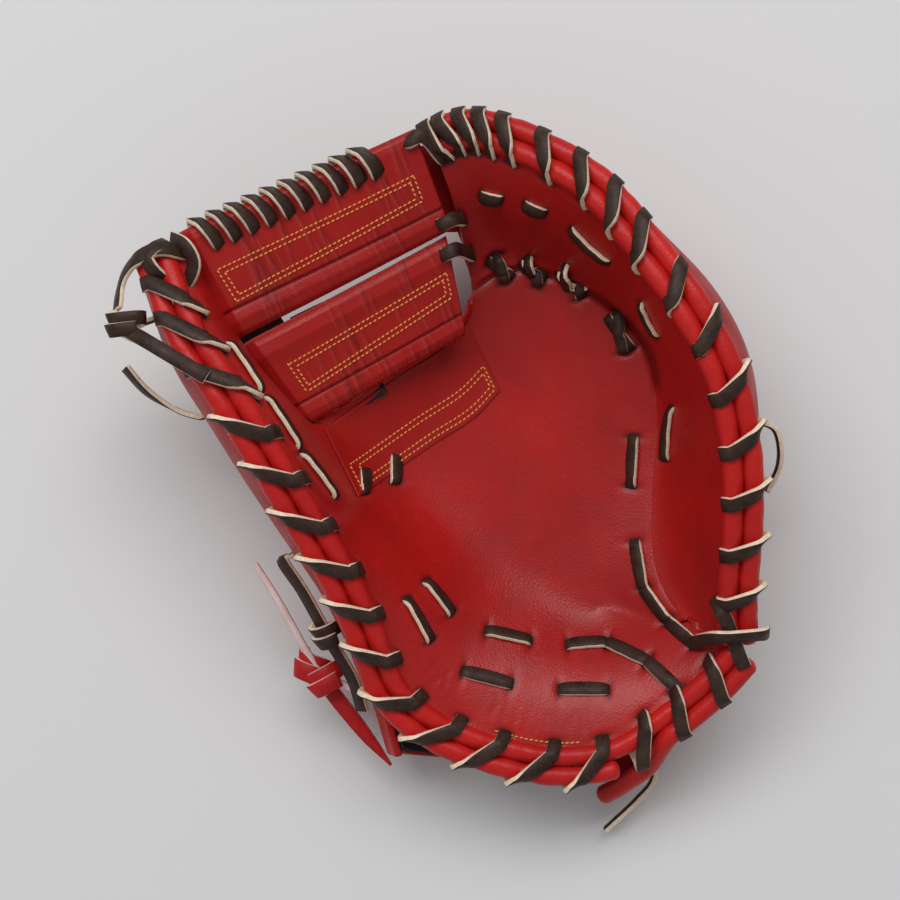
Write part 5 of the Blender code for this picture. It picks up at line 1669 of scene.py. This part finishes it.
def loose_rows(back, course, sides):
    """Rows of a lace out of a slit in a back leather, and where it comes out."""
    hole, further = course
    place, normal, _, _ = back_trees[back.name].find_nearest(Vector(hole))
    place = np.array(place)
    normal = np.array(normal)
    if np.dot(normal, np.array(further[0]) - place) < 0:
        normal = -normal
    points = [place, place + (RIDE + 1) * normal, *[np.array(p, float) for p in further]]
    rows = [lace_row(p, side, 0.75 if i == 0 else 1) for i, (p, side) in enumerate(zip(points, sides))]
    punch(back, [(place, unit(np.array(sides[0], float)), normal)])
    return lace_points(rows)


def loose_end(name, node, rows, body, slot="brown_lace", finishes=(brown, cream)):
    """A free lace end, made as one lace piece on its half of the mitt."""
    piece = lace_piece(name, [rows], finishes)
    dress(piece, body, slot, node)


FLAT_SIDE = (0.5, 0.85, -0.1)
THUMB_TAIL_SIDES = (-UP, -UP, (0.3, 0.3, -1), FLAT_SIDE, FLAT_SIDE, FLAT_SIDE)
THUMB_BACK_SIDES = (-UP, -UP, -UP, (-0.2, -0.4, -1), (-0.3, -0.6, -1))
loose_end("thumb_loose_end", "thumb_tail", loose_rows(thumb_back, THUMB_TAIL, THUMB_TAIL_SIDES), THUMB)
thumb_back_rows = loose_rows(thumb_back, THUMB_BACK_TAIL, THUMB_BACK_SIDES)
loose_end("thumb_back_loose_end", "thumb_back_tail", thumb_back_rows, THUMB)
loose_end("finger_loose_end", "finger_tail", loose_rows(finger_back, FINGER_TAIL, [UP] * 6), FINGER)
loose_end("heel_loose_end", "heel_tail", loose_rows(heel_back, HEEL_TAIL, [UP] * 5), THUMB)
RED_UP_SHARES = (1, 1, 1, 0.85, 0.75, 0.15)
RED_UP_SIDE = (0.4, 0.22, 0.85)
RED_DOWN_SHARES = (1.15, 1.15, 0.9, 0.15)
RED_DOWN_SIDE = (0.8, 0.5, 0.15)
for name, node, course, side, shares in (
    ("red_loose_end_up", "red_tail_up", RED_UP, RED_UP_SIDE, RED_UP_SHARES),
    ("red_loose_end_down", "red_tail_down", RED_DOWN, RED_DOWN_SIDE, RED_DOWN_SHARES),
):
    rows = lace_points([lace_row(p, side, share) for p, share in zip(course, shares)])
    loose_end(name, node, rows, THUMB, "red_lace", red_lace_pair)

# Wrist lace and knots: a brown lace runs down outside the thumb to the strap, knotted half way, and the red
# strap lace is knotted beside it. Each knot is one flat turn of lace drawn tight.
WRIST_SIDE = (0.62, 0.33, 0.65)
KNOT_TURNS = np.radians(np.arange(-60, 500, 20))
KNOT_DRIFT, KNOT_MIDDLE = 2.2, 1.2
KNOT_GROW = 0.03
KNOT_LEAN = 12
wrist_lace = lace_piece("wrist_side_lace", [loose_rows(thumb_back, WRIST_LACE, [UP] * 2 + [WRIST_SIDE] * 6)])
dress(wrist_lace, THUMB, "brown_lace", "wrist_lace")


def knot(name, nodes, middle, way, half, tall, wide, slot, finishes=(brown, cream)):
    """A turn and a half of lace drawn tight round another."""
    way = unit(np.array(way, float))
    across = unit(np.cross(way, UP))
    rise = np.cross(across, way)
    rows = []
    for turn in KNOT_TURNS:
        drift = KNOT_DRIFT * (turn / math.pi - KNOT_MIDDLE)
        grow = 1 + KNOT_GROW * turn
        out = half * grow * math.cos(turn) * across + tall * grow * math.sin(turn) * rise
        rows.append(lace_row(np.array(middle) + out + drift * way, -way, wide, KNOT_LEAN))
    piece = lace_piece(name, [lace_points(rows)], finishes)
    dress(piece, THUMB, slot, *nodes)


RED_KNOT = ("red_lace", red_lace_pair)
knot("red_strap_knot", ("red_knot",), (-53.6, -99, 35), (0.56, -0.83, 0), 7.0, 4.2, 1.2, *RED_KNOT)
knot("red_strap_turn", (), (-60.2, -94.6, 33.5), (-0.25, -0.97, 0), 5.6, 3.4, 1.35, *RED_KNOT)
knot("brown_wrist_knot", ("wrist_knot",), (-52.5, -78, 53), (0.47, -0.86, -0.2), 4.8, 4.6, 1, "brown_lace")
knot("thumb_tail_knot", (), (-130.5, 51.5, 100), (0.2, -0.97, 0), 6.4, 3.4, 0.95, "brown_lace")

# Edge thread: orange sewing thread along the rim, in a row of stitches just inside the heel's inner roll and
# in a few stitches outside the thumb's outer roll. It holds the leathers to the rolls under the lacing.
HEEL_THREAD = (262.0, 305.0)
THUMB_THREAD = (70.0, 84.0)
THREAD_STEP = 1.5
HEEL_THREAD_IN = 1.6
THUMB_THREAD_DOWN = 2.0
THREAD_LIFT = LEATHER / 2 + 0.1
heel_thread = []
for distance in np.arange(*HEEL_THREAD, THREAD_STEP):
    section = RimSection(thumb_rim, distance)
    below = section.palm_roll + (ROLL_R + HEEL_THREAD_IN) * section.down
    heel_thread.append((below - THREAD_LIFT * section.under, -section.under))
thumb_thread = []
for distance in np.arange(*THUMB_THREAD, THREAD_STEP):
    section = RimSection(thumb_rim, distance)
    below = section.back_roll + (ROLL_R + THUMB_THREAD_DOWN) * section.back_down
    thumb_thread.append((below + THREAD_LIFT * section.back_out, section.back_out))
edge_tubes = stitch_tubes(*zip(*heel_thread)) + stitch_tubes(*zip(*thumb_thread))
edge_thread = add_piece("edge_thread", skin("edge_thread", edge_tubes), thread)
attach(edge_thread, THUMB)
